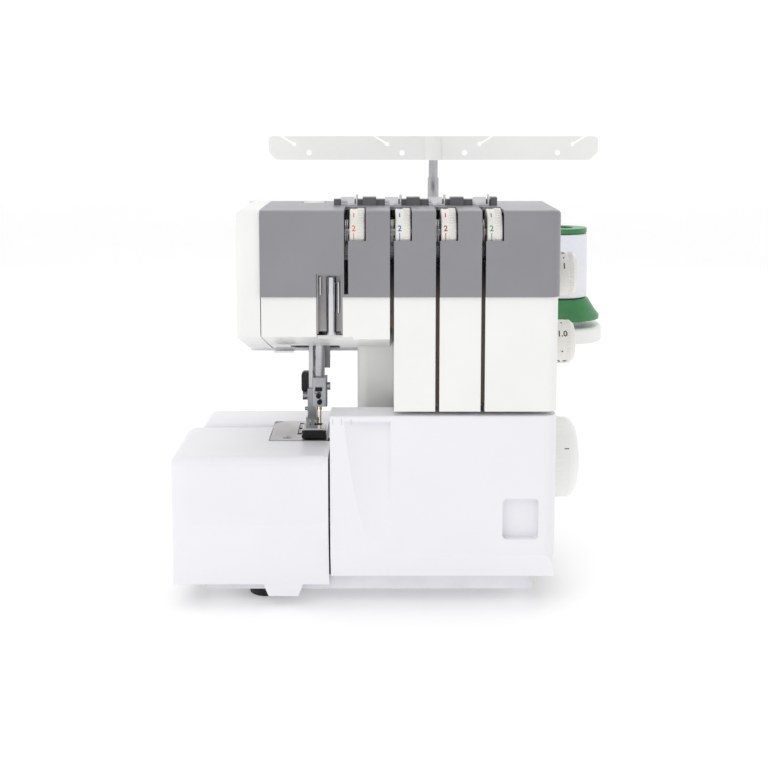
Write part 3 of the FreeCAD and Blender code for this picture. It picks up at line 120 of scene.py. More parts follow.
@dataclass(frozen=True)
class Finish:
    """A real material and how its surface was made."""

    name: str
    colour: str
    mottle: str
    roughness: float
    grain_size: float
    grain_depth: float
    spread: float = 0.05
    metallic: float = 0.0
    ior: float = 1.5
    coat: float = 0.0
    sheen: float = 0.0
    anisotropy: float = 0.0
    grain: Grain = Grain.EVEN
    mottle_size: float = 22.0
    fade: Fade | None = None

    def material(self) -> bpy.types.Material:
        """Build the procedural material once and reuse it.

        Returns:
            The Blender material.
        """
        ready = bpy.data.materials.get(self.name)
        if ready:
            return ready
        made = bpy.data.materials.new(self.name)
        made.use_nodes = True
        made.diffuse_color = linear(self.colour)
        tree = made.node_tree
        tree.nodes.clear()
        place = add_node(tree, "ShaderNodeTexCoord", {}).outputs["Object"]
        cloud = add_node(
            tree, "ShaderNodeTexNoise", {"Vector": place, "Scale": 1000 / self.mottle_size, "Detail": 3.0}
        ).outputs["Fac"]
        stretched = add_node(
            tree, "ShaderNodeMapping", {"Vector": place, "Scale": self.grain.value}
        ).outputs[0]
        fine = add_node(
            tree, "ShaderNodeTexNoise", {"Vector": stretched, "Scale": 1000 / self.grain_size, "Detail": 2.0}
        ).outputs["Fac"]
        blotch = add_node(
            tree, "ShaderNodeMapRange", {"Value": cloud, "From Min": 0.35, "From Max": 0.7}
        ).outputs[0]
        colours = {0: blotch, 6: linear(self.colour), 7: linear(self.mottle)}
        tone = add_node(tree, "ShaderNodeMix", colours, data_type="RGBA").outputs[2]
        if self.fade:
            height = add_node(tree, "ShaderNodeSeparateXYZ", {0: place}).outputs["Z"]
            lower = add_node(
                tree,
                "ShaderNodeMapRange",
                {"Value": height, "From Min": self.fade.starts_z * MM, "From Max": self.fade.ends_z * MM},
            ).outputs[0]
            tone = add_node(
                tree, "ShaderNodeMix", {0: lower, 6: tone, 7: linear(self.fade.colour)}, data_type="RGBA"
            ).outputs[2]
        rough = add_node(
            tree,
            "ShaderNodeMapRange",
            {
                "Value": fine,
                "To Min": max(0.02, self.roughness - self.spread),
                "To Max": min(1.0, self.roughness + self.spread),
            },
        ).outputs[0]
        relief = add_node(
            tree, "ShaderNodeBump", {"Height": fine, "Distance": self.grain_depth * MM, "Strength": 1.0}
        ).outputs[0]
        shader = add_node(
            tree,
            "ShaderNodeBsdfPrincipled",
            {
                "Base Color": tone,
                "Roughness": rough,
                "Normal": relief,
                "Metallic": self.metallic,
                "IOR": self.ior,
                "Coat Weight": self.coat,
                "Sheen Weight": self.sheen,
                "Anisotropic": self.anisotropy,
            },
        )
        add_node(tree, "ShaderNodeOutputMaterial", {"Surface": shader.outputs[0]})
        return made


# Injection-moulded ABS: a soft satin gleam with the tool's fine spark texture, drawn 0.9 mm coarse to show.
WHITE_ABS = Finish(
    "white ABS, moulded satin", "#F8F8F6", "#F5F5F3", 0.34, 0.9, 0.010, ior=1.53, mottle_size=60
)
LOWER_ABS = Finish(
    "white ABS, moulded satin, lower covers", "#F5F4F8", "#F3F2F7", 0.36, 0.9, 0.010, ior=1.53, mottle_size=60
)
GREY_ABS = Finish(
    "grey ABS, moulded satin", "#919196", "#8D8D92", 0.33, 0.8, 0.012, ior=1.53, mottle_size=40
)
DARK_ABS = Finish("dark grey ABS, moulded satin", "#6E6E73", "#646468", 0.38, 0.8, 0.012, ior=1.53)
TRAY_ABS = Finish("polystyrene, moulded", "#EDECF1", "#E5E4EA", 0.42, 1.0, 0.014, ior=1.55)
# Spark-eroded mould faces leave black ABS dull and very slightly pebbled.
BLACK_ABS = Finish("black ABS, grained", "#17171A", "#1F1F22", 0.5, 0.7, 0.03, ior=1.53)
CHANNEL_ABS = Finish(
    "black ABS, thread channel", "#0D0C0D", "#161415", 0.5, 0.8, 0.02, ior=1.53,
    fade=Fade("#B5A397", 250, 226),
)
# Pressed steel that was tumbled bright lines the needle recess, with a soft vertical gleam; its colour is
# darkened below bright steel as painted shade in the recess.
LINER_STEEL_SHADED = Finish(
    "pressed steel, tumbled, darkened as painted shade", "#A9A7A5", "#98969A", 0.36, 0.5, 0.01, metallic=1.0, grain=Grain.ALONG_Z
)
# Acetal keeps a waxy gleam and a warm ivory body colour.
IVORY_POM = Finish("ivory acetal, moulded", "#F1EFEA", "#EAE7E1", 0.3, 0.7, 0.008, ior=1.48)
GREEN_PP = Finish("green polypropylene, moulded", "#3F8C52", "#367C48", 0.36, 1.1, 0.02, ior=1.49, sheen=0.05)
# Electroplated chrome: a near-mirror with only faint polishing waves.
CHROME = Finish("chrome plate, polished", "#D9DADD", "#CFD0D4", 0.09, 2.4, 0.004, spread=0.03, metallic=1.0)
NICKEL = Finish("satin nickel plate", "#B3B4B8", "#A6A7AB", 0.3, 0.5, 0.006, metallic=1.0)
# Ground steel shows straight hairlines, drawn 0.5 mm apart so that they show.
PLATE_STEEL = Finish(
    "needle-plate steel, ground", "#B3B1B1", "#A2A0A0", 0.3, 0.5, 0.012, metallic=1.0, anisotropy=0.4,
    grain=Grain.ALONG_X,
)
FOOT_STEEL = Finish("stainless steel, polished", "#C2C2C4", "#B2B2B5", 0.2, 0.6, 0.006, metallic=1.0)
SHAFT_STEEL = Finish(
    "shaft steel, ground", "#A9A9AA", "#98989A", 0.26, 0.5, 0.01, metallic=1.0, anisotropy=0.3,
    grain=Grain.ALONG_X,
)
BAR_STEEL = Finish(
    "silver steel, drawn and polished", "#C4C4C6", "#A9A9AC", 0.16, 0.5, 0.006, metallic=1.0,
    grain=Grain.ALONG_Z,
)
SPRING_STEEL = Finish("spring steel, drawn wire", "#8A8A8E", "#77777B", 0.32, 0.4, 0.008, metallic=1.0)
ZINC_STEEL = Finish(
    "pressed steel, zinc plated", "#B9B9B4", "#A3A49E", 0.34, 1.6, 0.02, metallic=1.0, mottle_size=7
)
# Titanium nitride gives needles a pale gold skin.
NEEDLE_GOLD = Finish("needle steel, titanium nitride", "#CDBB8C", "#BFAE82", 0.22, 0.4, 0.004, metallic=1.0)
SCREW_STEEL = Finish("screw steel, nickel plated", "#A5A5A8", "#8E8E92", 0.28, 0.5, 0.01, metallic=1.0)
BLUED_STEEL = Finish("steel, blued", "#1B1B1E", "#26262B", 0.3, 0.5, 0.008, metallic=0.6)
# Sand-cast alloy has a coarse, dull skin.
CAST_ALLOY = Finish(
    "aluminium, sand cast", "#A9AAAC", "#96979A", 0.55, 1.8, 0.12, metallic=1.0, mottle_size=9
)
MOTOR_PAINT = Finish("stove enamel on steel", "#26262A", "#1F1F22", 0.36, 1.4, 0.02, coat=0.3)
RUBBER = Finish("nitrile rubber, moulded", "#141415", "#1D1D1E", 0.74, 1.1, 0.05, ior=1.52, sheen=0.1)
BELT_RUBBER = Finish("neoprene belt, ground", "#1B1B1B", "#252525", 0.8, 0.8, 0.06, ior=1.52)
# Spun polyester is matt and fibrous; the windings are geometry and this adds the hair between them.
THREAD = Finish(
    "spun polyester thread, wound", "#F6F6FD", "#F1F1FA", 0.85, 0.35, 0.03, ior=1.5, sheen=0.3,
    grain=Grain.ROUND_Z,
)


def ink(name: str, colour: str, worn: str) -> Finish:
    """A pad-printed ink: thin, slightly glossy and a little uneven in colour."""
    return Finish(f"pad-printed ink, {name}", colour, worn, 0.4, 0.6, 0.004, mottle_size=1.6)


BLACK_INK = ink("black", "#2B2B2D", "#3B3B3D")
# Painted shade: not ink, but pale grey strips standing in for the shade in the engraved cutting-width
# grooves.
TICK_GROOVE_SHADE = ink("pale grey as painted groove shade", "#CFCDD6", "#C4C2CC")
DIAL_INKS = (
    ink("orange", "#E2784A", "#E8875C"),
    ink("blue", "#2B6DB4", "#3D79BA"),
    ink("red-brown", "#A8483F", "#B1584F"),
    ink("green", "#4C9A66", "#5CA474"),
)


# ---------------------------------------------------------------- mesh building


class Axis(Enum):
    """Which way a turned part's axis points; each gives the axis and the two directions round it."""

    X = (Vector((1, 0, 0)), Vector((0, -1, 0)), Vector((0, 0, 1)))
    Y = (Vector((0, 1, 0)), Vector((1, 0, 0)), Vector((0, 0, 1)))
    Z = (Vector((0, 0, 1)), Vector((1, 0, 0)), Vector((0, 1, 0)))

    def at(self, centre: Point, along: float, radius: float, angle: float) -> Vector:
        """Give a point round the axis.

        Args:
            centre: where the axis starts, in mm.
            along: distance along the axis, in mm.
            radius: distance from the axis, in mm.
            angle: turn round it, in radians.

        Returns:
            The point, in mm.
        """
        line, side, up = self.value
        return Vector(centre) + line * along + (side * math.cos(angle) + up * math.sin(angle)) * radius


@dataclass
class Shape:
    """Vertices in mm and the faces between them."""

    points: list = field(default_factory=list)
    faces: list = field(default_factory=list)

    def add(self, other: "Shape") -> "Shape":
        """Take another shape in as well.

        Args:
            other: the shape to take in.

        Returns:
            This shape.
        """
        start = len(self.points)
        self.points.extend(other.points)
        self.faces.extend(tuple(start + number for number in face) for face in other.faces)
        return self

    def piece(self, name: str, finish: Finish, body: str, slot: str, sharp: float = 35) -> bpy.types.Object:
        """Make a visible piece of this shape.

        Args:
            name: the piece's name.
            finish: what it is made of.
            body: the CAD body that it rides on.
            slot: not used.
            sharp: the angle in degrees above which an edge stays sharp.

        Returns:
            The new object.
        """
        mesh = bpy.data.meshes.new(name)
        mesh.from_pydata([tuple(Vector(point) * MM) for point in self.points], [], self.faces)
        work = bmesh.new()
        work.from_mesh(mesh)
        bmesh.ops.remove_doubles(work, verts=work.verts, dist=1e-7)
        bmesh.ops.recalc_face_normals(work, faces=work.faces)
        work.to_mesh(mesh)
        work.free()
        mesh.polygons.foreach_set("use_smooth", [True] * len(mesh.polygons))
        mesh.set_sharp_from_angle(angle=math.radians(sharp))
        mesh.materials.append(finish.material())
        made = bpy.data.objects.new(name, mesh)
        bpy.context.scene.collection.objects.link(made)
        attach(made, body)
        log.info("built %s: %d faces, rides on %s", name, len(mesh.polygons), body)
        return made


def loft(rings: Sequence[Sequence[Vector]], closed: bool) -> Shape:
    """Join rings of equally many points.

    Args:
        rings: the rings in order.
        closed: true if the last ring joins the first; otherwise both ends are capped.

    Returns:
        The closed surface.
    """
    shape = Shape()
    count = len(rings[0])
    for ring in rings:
        shape.points.extend(ring)
    for number in range(len(rings) if closed else len(rings) - 1):
        low, high = number * count, (number + 1) % len(rings) * count
        for step in range(count):
            after = (step + 1) % count
            shape.faces.append((low + step, low + after, high + after, high + step))
    if not closed:
        shape.faces.append(tuple(range(count)))
        shape.faces.append(tuple(range((len(rings) - 1) * count, len(rings) * count)))
    return shape


def ribbed(axis: Axis, centre: Point, span: Pair, radius: float, rise: float, count: int) -> Shape:
    """A ring with ribs that run along the axis, as a finger grip has.

    Args:
        axis: the axis's direction.
        centre: where the axis starts, in mm.
        span: where the ring starts and ends along the axis.
        radius: the radius between the ribs.
        rise: how far a rib stands out.
        count: how many ribs there are.

    Returns:
        The ring.
    """
    rings = []
    for rib in range(count):
        for share, height in ((0.0, 0.0), (0.38, 0.0), (0.52, rise), (0.86, rise)):
            angle = (rib + share) * math.tau / count
            low, high = span
            ring = [(low, radius - 0.5), (low, radius + height * 0.6), (low + 0.3, radius + height)]
            ring += [(high - 0.3, radius + height), (high, radius + height * 0.6), (high, radius - 0.5)]
            rings.append([axis.at(centre, along, out, angle) for along, out in ring])
    return loft(rings, closed=True)


def block(low: Point, high: Point, bevel: float = 0.2) -> Shape:
    """A small block whose upright and flat edges are all bevelled.

    Args:
        low: its lowest corner, in mm.
        high: its highest corner, in mm.
        bevel: the width of its bevels.

    Returns:
        The block.
    """

    def outline(inset: float, height: float) -> list[Vector]:
        """The eight-sided outline at one height, drawn in by an inset."""
        x0, y0, x1, y1 = low[0] + inset, low[1] + inset, high[0] - inset, high[1] - inset
        corners = [(x0 + bevel, y0), (x1 - bevel, y0), (x1, y0 + bevel), (x1, y1 - bevel)]
        corners += [(x1 - bevel, y1), (x0 + bevel, y1), (x0, y1 - bevel), (x0, y0 + bevel)]
        return [Vector((x, y, height)) for x, y in corners]

    levels = [(bevel, low[2]), (0, low[2] + bevel), (0, high[2] - bevel), (bevel, high[2])]
    return loft([outline(inset, height) for inset, height in levels], closed=False)


def tube(path: Sequence[Vector], radius: float, sides: int = 10) -> Shape:
    """A round wire along a path.

    Args:
        path: the points on its middle line, in mm.
        radius: the wire's radius.
        sides: how many sides its section has.

    Returns:
        The wire, capped at both ends.
    """
    rings = []
    for number, point in enumerate(path):
        ahead = path[min(number + 1, len(path) - 1)] - path[max(number - 1, 0)]
        side = ahead.cross(Vector((0, 0, 1))).normalized()
        up = side.cross(ahead).normalized()
        turns = [step * math.tau / sides for step in range(sides)]
        rings.append([point + (side * math.cos(turn) + up * math.sin(turn)) * radius for turn in turns])
    return loft(rings, closed=False)


def numeral(
    text: str, size: float, put: Callable[[float, float, float], Vector], bold: float = 0.12, cuts: int = 7
) -> Shape:
    """A printed numeral, laid on a surface.

    Args:
        text: the numeral.
        size: its font size in mm.
        put: turns (across, up, out) in mm into the point on the surface.
        bold: how much its strokes are thickened on each side.
        cuts: how many level cuts each half gets, so that it can bend round a wheel.

    Returns:
        The numeral as a thin raised shape.
    """
    curve = bpy.data.curves.new("numeral", "FONT")
    curve.body, curve.size, curve.extrude, curve.offset = text, size, 0.05, bold
    curve.align_x, curve.align_y, curve.resolution_u = "CENTER", "CENTER", 3
    holder = bpy.data.objects.new("numeral", curve)
    bpy.context.scene.collection.objects.link(holder)
    mesh = bpy.data.meshes.new_from_object(holder.evaluated_get(bpy.context.evaluated_depsgraph_get()))
    work = bmesh.new()
    work.from_mesh(mesh)
    for step in range(-cuts, cuts + 1):
        everything = work.verts[:] + work.edges[:] + work.faces[:]
        level = step * size / (2 * cuts)
        bmesh.ops.bisect_plane(work, geom=everything, plane_co=(0, level, 0), plane_no=(0, 1, 0))
    work.verts.ensure_lookup_table()
    work.verts.index_update()
    shape = Shape(
        [put(vert.co.x, vert.co.y, vert.co.z) for vert in work.verts],
        [tuple(vert.index for vert in face.verts) for face in work.faces],
    )
    work.free()
    bpy.data.objects.remove(holder)
    bpy.data.meshes.remove(mesh)
    return shape


def on_wheel(axis: Axis, centre: Point, along: float, radius: float, angle: float) -> Callable:
    """Give the rule that lays print on a wheel's rim.

    Args:
        axis: the wheel's axis.
        centre: where the axis starts, in mm.
        along: the print's place along the axis.
        radius: the rim's radius.
        angle: the print's place round the rim, in degrees above the front.

    Returns:
        A function of (across, up, out) that gives the point, in mm.
    """

    def put(across: float, up: float, out: float) -> Vector:
        """The point on the rim for one point of the print."""
        return axis.at(centre, along + across, radius + 0.03 + out, math.radians(angle) + up / radius)

    return put


def dash(put: Callable, width: float, height: float) -> Shape:
    """A short printed line or dot, laid on a surface by put.

    Args:
        put: turns (across, up, out) in mm into the point on the surface.
        width: its width in mm.
        height: its height in mm.

    Returns:
        The thin raised line.
    """
    levels = [height * (step / 8 - 0.5) for step in range(9)]
    corners = [(-0.5, -0.05), (0.5, -0.05), (0.5, 0.05), (-0.5, 0.05)]
    return loft([[put(side * width, level, out) for side, out in corners] for level in levels], closed=False)


def dot(put: Callable, radius: float) -> Shape:
    """A round printed dot, laid on a surface by put.

    Args:
        put: turns (across, up, out) in mm into the point on the surface.
        radius: its radius in mm.

    Returns:
        The thin raised dot.
    """
    turns = [step * math.tau / 20 for step in range(20)]
    rim = [(radius * math.cos(turn), radius * math.sin(turn)) for turn in turns]
    return loft([[put(across, up, out) for across, up in rim] for out in (-0.05, 0.06)], closed=False)


def box_mm(node: str) -> tuple[Vector, Vector]:
    """The lowest and highest corners of a CAD node, in mm."""
    low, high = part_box(node)
    return low / MM, high / MM


def islands(node: str) -> list[tuple[Vector, Vector]]:
    """Find the separate solids of one CAD node.

    Args:
        node: the node's name.

    Returns:
        The lowest and highest corner of each solid, in mm.
    """
    work = bmesh.new()
    work.from_mesh(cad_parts[node].data)
    bmesh.ops.remove_doubles(work, verts=work.verts, dist=1e-6)
    left = set(work.verts)
    found = []
    while left:
        start = min(left, key=lambda vert: vert.index)
        reached, edge = {start}, [start]
        while edge:
            near = [other for link in edge.pop().link_edges for other in link.verts if other not in reached]
            reached.update(near)
            edge.extend(near)
        left -= reached
        spots = [vert.co / MM for vert in reached]
        found.append(
            tuple(Vector(pick(spot[way] for spot in spots) for way in range(3)) for pick in (min, max))
        )
    work.free()
    return found


# ---------------------------------------------------------------- sub-assemblies


@dataclass
class SubAssembly:
    """A group of CAD parts that are dressed together, with the fine pieces built on them."""

    finishes: dict[str, Finish] = field(default_factory=dict)

    def details(self) -> Iterable[bpy.types.Object]:
        """Build the group's fine pieces; a plain group has none."""
        return ()

    def build(self) -> None:
        """Dress the group's CAD parts and build its fine pieces."""
        for node, finish in self.finishes.items():
            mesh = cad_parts[node].data
            for place in range(max(1, len(mesh.materials))):
                if place < len(mesh.materials):
                    mesh.materials[place] = finish.material()
                else:
                    mesh.materials.append(finish.material())
            log.info("dressed %s in %s", node, finish.name)
        for piece in self.details():
            log.info("finished %s", piece.name)


@dataclass
class Covers(SubAssembly):
    """The moulded covers of the bed, the looper door and the tray that they stand on."""

    finishes: dict[str, Finish] = field(
        default_factory=lambda: {
            "base_tray": TRAY_ABS,
            "bed_rear": LOWER_ABS,
            "side_cover": LOWER_ABS,
            "front_cover": LOWER_ABS,
            "main_casing": WHITE_ABS,
            "rear_cover": LOWER_ABS,
            "door_bracket": ZINC_STEEL,
            "main_frame": CAST_ALLOY,
            "rubber_feet": RUBBER,
            "screws": SCREW_STEEL,
        }
    )
    recess_reach: float = 0.62
    recess_width: float = 0.17
    tick_places: tuple[float, ...] = (-52.4, -45.9, -39.2)
    tick_size: Pair = (0.35, 4.2)
    tick_drop: float = 2.0
    head_height: float = 1.75
    head_steps: int = 48
    head_rings: int = 12
    head_dome: float = 0.55
    recess_depth: float = 0.8

    def details(self) -> Iterable[bpy.types.Object]:
        """Build the cutting-width ticks on the looper door's lip, as pale grey strips of painted shade for
        their engraved grooves.
        """
        low, high = box_mm("front_cover")
        width, height = self.tick_size
        middle = high.z - self.tick_drop - height / 2
        # Each tick is a flat pale grey strip: painted shade in place of an engraved groove.
        ticks = Shape()
        for place in self.tick_places:

            def put(across: float, up: float, out: float, place: float = place) -> Vector:
                """The point on the door's face."""
                return Vector((place + across, low.y - 0.02 - out, middle + up))

            ticks.add(dash(put, width, height))
        yield ticks.piece("cutting_width_groove_shade", TICK_GROOVE_SHADE, "front_cover", "grey_abs")
        heads = Shape()
        for low, high in islands("screws"):
            heads.add(self.screw_head(low, high))
        made = heads.piece("cross_head_screws", SCREW_STEEL, "casing", "screw_steel", 28)
        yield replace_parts(made, "screws")

    def screw_head(self, low: Vector, high: Vector) -> Shape:
        """Shape one screw with a domed head and a cross recess.

        Args:
            low: the lowest corner of the screw's plain solid, in mm.
            high: its highest corner, in mm.

        Returns:
            The screw.
        """
        upright = high.y - low.y > (high.x - low.x) / 2
        radius = (high.x - low.x) / 2
        axis = Axis.Z if upright else Axis.Y
        middle = (low + high) / 2
        base = (middle.x, middle.y, high.z - 1.8) if upright else (middle.x, low.y, middle.z)
        height, steps = self.head_height, self.head_steps
        rings = []
        for share in (0.01, *(step / self.head_rings for step in range(1, self.head_rings + 1))):
            ring = []
            for step in range(steps):
                turn = step * math.tau / steps
                u, v = abs(share * math.cos(turn)), abs(share * math.sin(turn))
                in_cross = min(u, v) < self.recess_width and max(u, v) < self.recess_reach
                dome = 0.0 if upright else self.head_dome * share**2
                cross = self.recess_depth if in_cross else 0.0
                ring.append(axis.at(base, height - dome - cross, share * radius, turn))
            rings.append(ring)
        foot = 0.55 if upright else 1.0
        deepest = low.z - base[2] if upright else 0.0
        for along, share in ((height - 0.9, 1.0), (0.05, foot), (deepest, foot)):
            turns = (step * math.tau / steps for step in range(steps))
            rings.append([axis.at(base, along, share * radius, turn) for turn in turns])
        return loft(rings, closed=False)


@dataclass
class Head(SubAssembly):
    """The head's covers with the chrome thread-lever cover and the parts in the needle recess."""

    finishes: dict[str, Finish] = field(
        default_factory=lambda: {
            "face_cover": WHITE_ABS,
            "head_cover": WHITE_ABS,
            "grey_panel": GREY_ABS,
            "recess_liner": LINER_STEEL_SHADED,
            "chrome_cover": CHROME,
        }
    )


@dataclass
class TensionUnit(SubAssembly):
    """The four tension wheels with their prints and grips, and what they turn on."""

    finishes: dict[str, Finish] = field(
        default_factory=lambda: {
            **{f"tension_dial_{number}": IVORY_POM for number in range(1, 5)},
            "tension_bracket": SHAFT_STEEL,
            "thread_channels": CHANNEL_ABS,
            "guide_bar": DARK_ABS,
            "steel_thread_guides": CHROME,
        }
    )
    numeral_size: float = 5.8
    numeral_across: float = 3.0
    numeral_step: float = 36.0
    first_angle: float = 87.0
    grip_start: float = 5.6
    grip_ribs: int = 54

    def details(self) -> Iterable[bpy.types.Object]:
        """Build each wheel's numerals, setting line and ribbed grip."""
        for number, colour in enumerate(DIAL_INKS, start=1):
            node = f"tension_dial_{number}"
            low, high = box_mm(node)
            centre = (low.x, (low.y + high.y) / 2, (low.z + high.z) / 2)
            radius = (high.z - low.z) / 2
            marks = Shape()
            for value in range(10):
                angle = self.first_angle - value * self.numeral_step
                put = on_wheel(Axis.X, centre, self.numeral_across, radius, angle)
                marks.add(numeral(str(value), self.numeral_size, put))
            line = on_wheel(Axis.X, centre, self.numeral_across, radius, self.first_angle - 91)
            marks.add(dash(line, 0.55, 5.4))
            yield marks.piece(f"{node}_marks", colour, node, "ivory_pom")
            span = (self.grip_start, high.x - low.x - 0.5)
            grip = ribbed(Axis.X, centre, span, radius + 0.02, 0.5, self.grip_ribs)
            yield grip.piece(f"{node}_grip", IVORY_POM, node, "ivory_pom")


@dataclass
class NeedleArea(SubAssembly):
    """The needle bar, presser bar, foot, plate, loopers, knives and feed dogs."""

    finishes: dict[str, Finish] = field(
        default_factory=lambda: {
            "needle_bar": BAR_STEEL,
            "needle_clamp": NICKEL,
            "needles": NEEDLE_GOLD,
            "presser_bar": BAR_STEEL,
            "presser_spring": SPRING_STEEL,
            "foot_holder": NICKEL,
            "presser_foot": FOOT_STEEL,
            "lifter_lever": ZINC_STEEL,
            "lifter_grip": BLACK_ABS,
            "pressure_dial": IVORY_POM,
            "needle_plate": PLATE_STEEL,
            "main_feed_dog": FOOT_STEEL,
            "differential_feed_dog": FOOT_STEEL,
            "looper_bracket": ZINC_STEEL,
            "lower_looper": FOOT_STEEL,
            "upper_looper": FOOT_STEEL,
            "lower_knife": SHAFT_STEEL,
            "upper_knife": SHAFT_STEEL,
        }
    )
    spring_turns: int = 10
    spring_steps: int = 24
    wire_radius: float = 0.75
    screw_places: tuple[Pair, ...] = ((-66.6, 0.38), (-65.8, 0.17))
    screw_profile: tuple = (
        (0.2, 2.0, False), (-0.55, 2.0, False), (-0.8, 1.7, False), (-0.8, 1.05, True), (-0.1, 0.95, True)
    )
    screw_steps: int = 24
    window: tuple[float, float, float, float] = (-69.2, -63.8, 0.54, 2.8)
    # Size of the dark plate on the foot's toe, which paints the shadow under it.
    toe_slope: float = 2.6
    toe_inset: float = 1.0

    def details(self) -> Iterable[bpy.types.Object]:
        """Build the presser spring, the clamp's screws with a dark block as painted shade in its window, and
        a dark plate on the foot's toe as painted shadow.
        """
        yield self.spring()
        yield self.clamp_screws()
        yield self.toe()

    def spring(self) -> bpy.types.Object:
        """Wind the presser spring in place of its plain sleeve."""
        low, high = box_mm("presser_spring")
        middle = (low + high) / 2
        reach = (high.x - low.x) / 2 - self.wire_radius
        rise = high.z - low.z - 2 * self.wire_radius
        path = []
        steps = self.spring_turns * self.spring_steps
        for step in range(steps + 1):
            share = step / steps
            turn = share * self.spring_turns * math.tau
            spot = (reach * math.cos(turn), reach * math.sin(turn), low.z + self.wire_radius + share * rise)
            path.append(Vector((middle.x + spot[0], middle.y + spot[1], spot[2])))
        wire = tube(path, self.wire_radius)
        made = wire.piece("presser_spring_coil", SPRING_STEEL, "casing", "spring_steel")
        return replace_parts(made, "presser_spring")

    def clamp_screws(self) -> bpy.types.Object:
        """Set two hexagon-socket screws in the needle clamp's face, and a dark block as painted shade in its
        thread window.
        """
        low, high = box_mm("needle_clamp")
        parts = Shape()
        for across, up in self.screw_places:
            height = low.z + up * (high.z - low.z)
            rings = []
            for out, radius, is_hexagon in self.screw_profile:
                ring = []
                for step in range(self.screw_steps):
                    turn = step * math.tau / self.screw_steps
                    reach = radius
                    if is_hexagon:
                        past_flat = (turn + math.pi / 6) % (math.pi / 3) - math.pi / 6
                        reach = radius * math.cos(math.pi / 6) / math.cos(past_flat)
                    spot = (across + reach * math.cos(turn), low.y + out, height + reach * math.sin(turn))
                    ring.append(Vector(spot))
                rings.append(ring)
            parts.add(loft(rings, closed=False))
        # A dark block fills the thread window: painted shade inside the opening.
        left, right, up, tall = self.window
        window_z = low.z + up * (high.z - low.z)
        parts.add(block((left, low.y - 0.3, window_z), (right, low.y + 0.4, window_z + tall)))
        return parts.piece("needle_clamp_screws_and_window_shade", BLUED_STEEL, "needle_bar", "screw_steel")

    def toe(self) -> bpy.types.Object:
        """Put a dark plate on the foot's raised toe, as painted shadow under the toe."""
        low, high = box_mm("presser_foot")
        slope, bottom, top = self.toe_slope, low.z + self.toe_inset, high.z - self.toe_inset
        outline = [(low.x, bottom), (high.x, bottom), (high.x, low.z + slope), (high.x - slope, top)]
        outline += [(low.x + slope, top), (low.x, low.z + slope)]
        sides = [[Vector((x, y, z)) for x, z in outline] for y in (low.y + 0.2, low.y - 0.6)]
        return loft(sides, closed=False).piece("presser_foot_toe_painted_shadow", BLUED_STEEL, "presser_foot", "foot_steel")


@dataclass
class Drive(SubAssembly):
    """The shaft, handwheel, motor, belt, mains inlet and switch."""

    finishes: dict[str, Finish] = field(
        default_factory=lambda: {
            "main_shaft": SHAFT_STEEL,
            "handwheel": WHITE_ABS,
            "motor": MOTOR_PAINT,
            "motor_pulley": ZINC_STEEL,
            "drive_belt": BELT_RUBBER,
            "mains_inlet": BLACK_ABS,
            "switch_frame": BLACK_ABS,
            "power_rocker": BLACK_ABS,
        }
    )
    grip_ribs: int = 60
    mark_angles: tuple[float, ...] = (25, 145, 265)
    mark_size: Pair = (3.4, 0.7)
    rocker_marks: tuple = (("I", 3.4, 1.41, 0.469), ("O", -3.2, 3.6, 0.188))
    rocker_mark_size: float = 4.0

    def details(self) -> Iterable[bpy.types.Object]:
        """Build the handwheel's grip ring and index lines, and the switch's marks."""
        low, high = box_mm("handwheel")
        centre = (low.x, (low.y + high.y) / 2, (low.z + high.z) / 2)
        radius, width = (high.z - low.z) / 2, high.x - low.x
        grip = ribbed(Axis.X, centre, (width * 0.16, width * 0.42), radius - 0.12, 0.3, self.grip_ribs)
        yield grip.piece("handwheel_grip", WHITE_ABS, "drive_shaft", "white_abs")
        marks = Shape()
        for angle in self.mark_angles:
            line = on_wheel(Axis.X, centre, width * 0.52, radius - 0.02, angle)
            marks.add(dash(line, *self.mark_size))
        yield marks.piece("handwheel_marks", BLACK_INK, "drive_shaft", "white_abs")
        low, high = box_mm("power_rocker")
        middle = (low + high) / 2
        marks = Shape()
        for text, up, inset, lean in self.rocker_marks:
            face = Vector((high.x - inset, middle.y, middle.z + up))
            marks.add(numeral(text, self.rocker_mark_size, self.on_key(face, lean)))
        yield marks.piece("power_rocker_marks", WHITE_ABS, "power_rocker", "white_abs")

    def on_key(self, face: Vector, lean: float) -> Callable:
        """Give the rule that lays print on one half of the rocker.

        Args:
            face: the print's middle, in mm.
            lean: how far the face moves out for each mm upwards.

        Returns:
            A function of (across, up, out) that gives the point, in mm.
        """
        return lambda across, up, out: face + Vector((out + 0.02 + lean * up, across, up))


@dataclass
class SideDials(SubAssembly):
    """The stitch-length and differential-feed dials with their prints and grips."""

    finishes: dict[str, Finish] = field(
        default_factory=lambda: {"stitch_length_dial": IVORY_POM, "feed_dial": IVORY_POM}
    )
    stitch_marks: tuple = ((26, "1"), (52, ""), (78, "2"), (104, ""), (130, "3"), (156, ""), (182, "4"))
    feed_marks: tuple = (
        (-60, "0.7"), (-18, ""), (29, "1.0"), (67, ""), (108, "1.5"), (147, ""), (186, "2.0")
    )
    numeral_size: float = 6.2
    dot_radius: float = 0.65
    flange: float = 7.0
    grip_ribs: int = 42

    def details(self) -> Iterable[bpy.types.Object]:
        """Build each dial's numerals, dots and ribbed grip."""
        for node, marks, across in (
            ("stitch_length_dial", self.stitch_marks, 5.6),
            ("feed_dial", self.feed_marks, 6.0),
        ):
            low, high = box_mm(node)
            start = low.x + self.flange
            width = high.x - start
            centre = (start, (low.y + high.y) / 2, (low.z + high.z) / 2)
            radius = (high.z - low.z) / 2
            prints = Shape()
            for angle, text in marks:
                put = on_wheel(Axis.X, centre, across, radius, angle)
                prints.add(numeral(text, self.numeral_size, put) if text else dot(put, self.dot_radius))
            yield prints.piece(f"{node}_marks", BLACK_INK, node, "ivory_pom")
            grip = ribbed(Axis.X, centre, (width * 0.6, width - 3.6), radius - 0.5, 0.4, self.grip_ribs)
            yield grip.piece(f"{node}_grip", IVORY_POM, node, "ivory_pom")


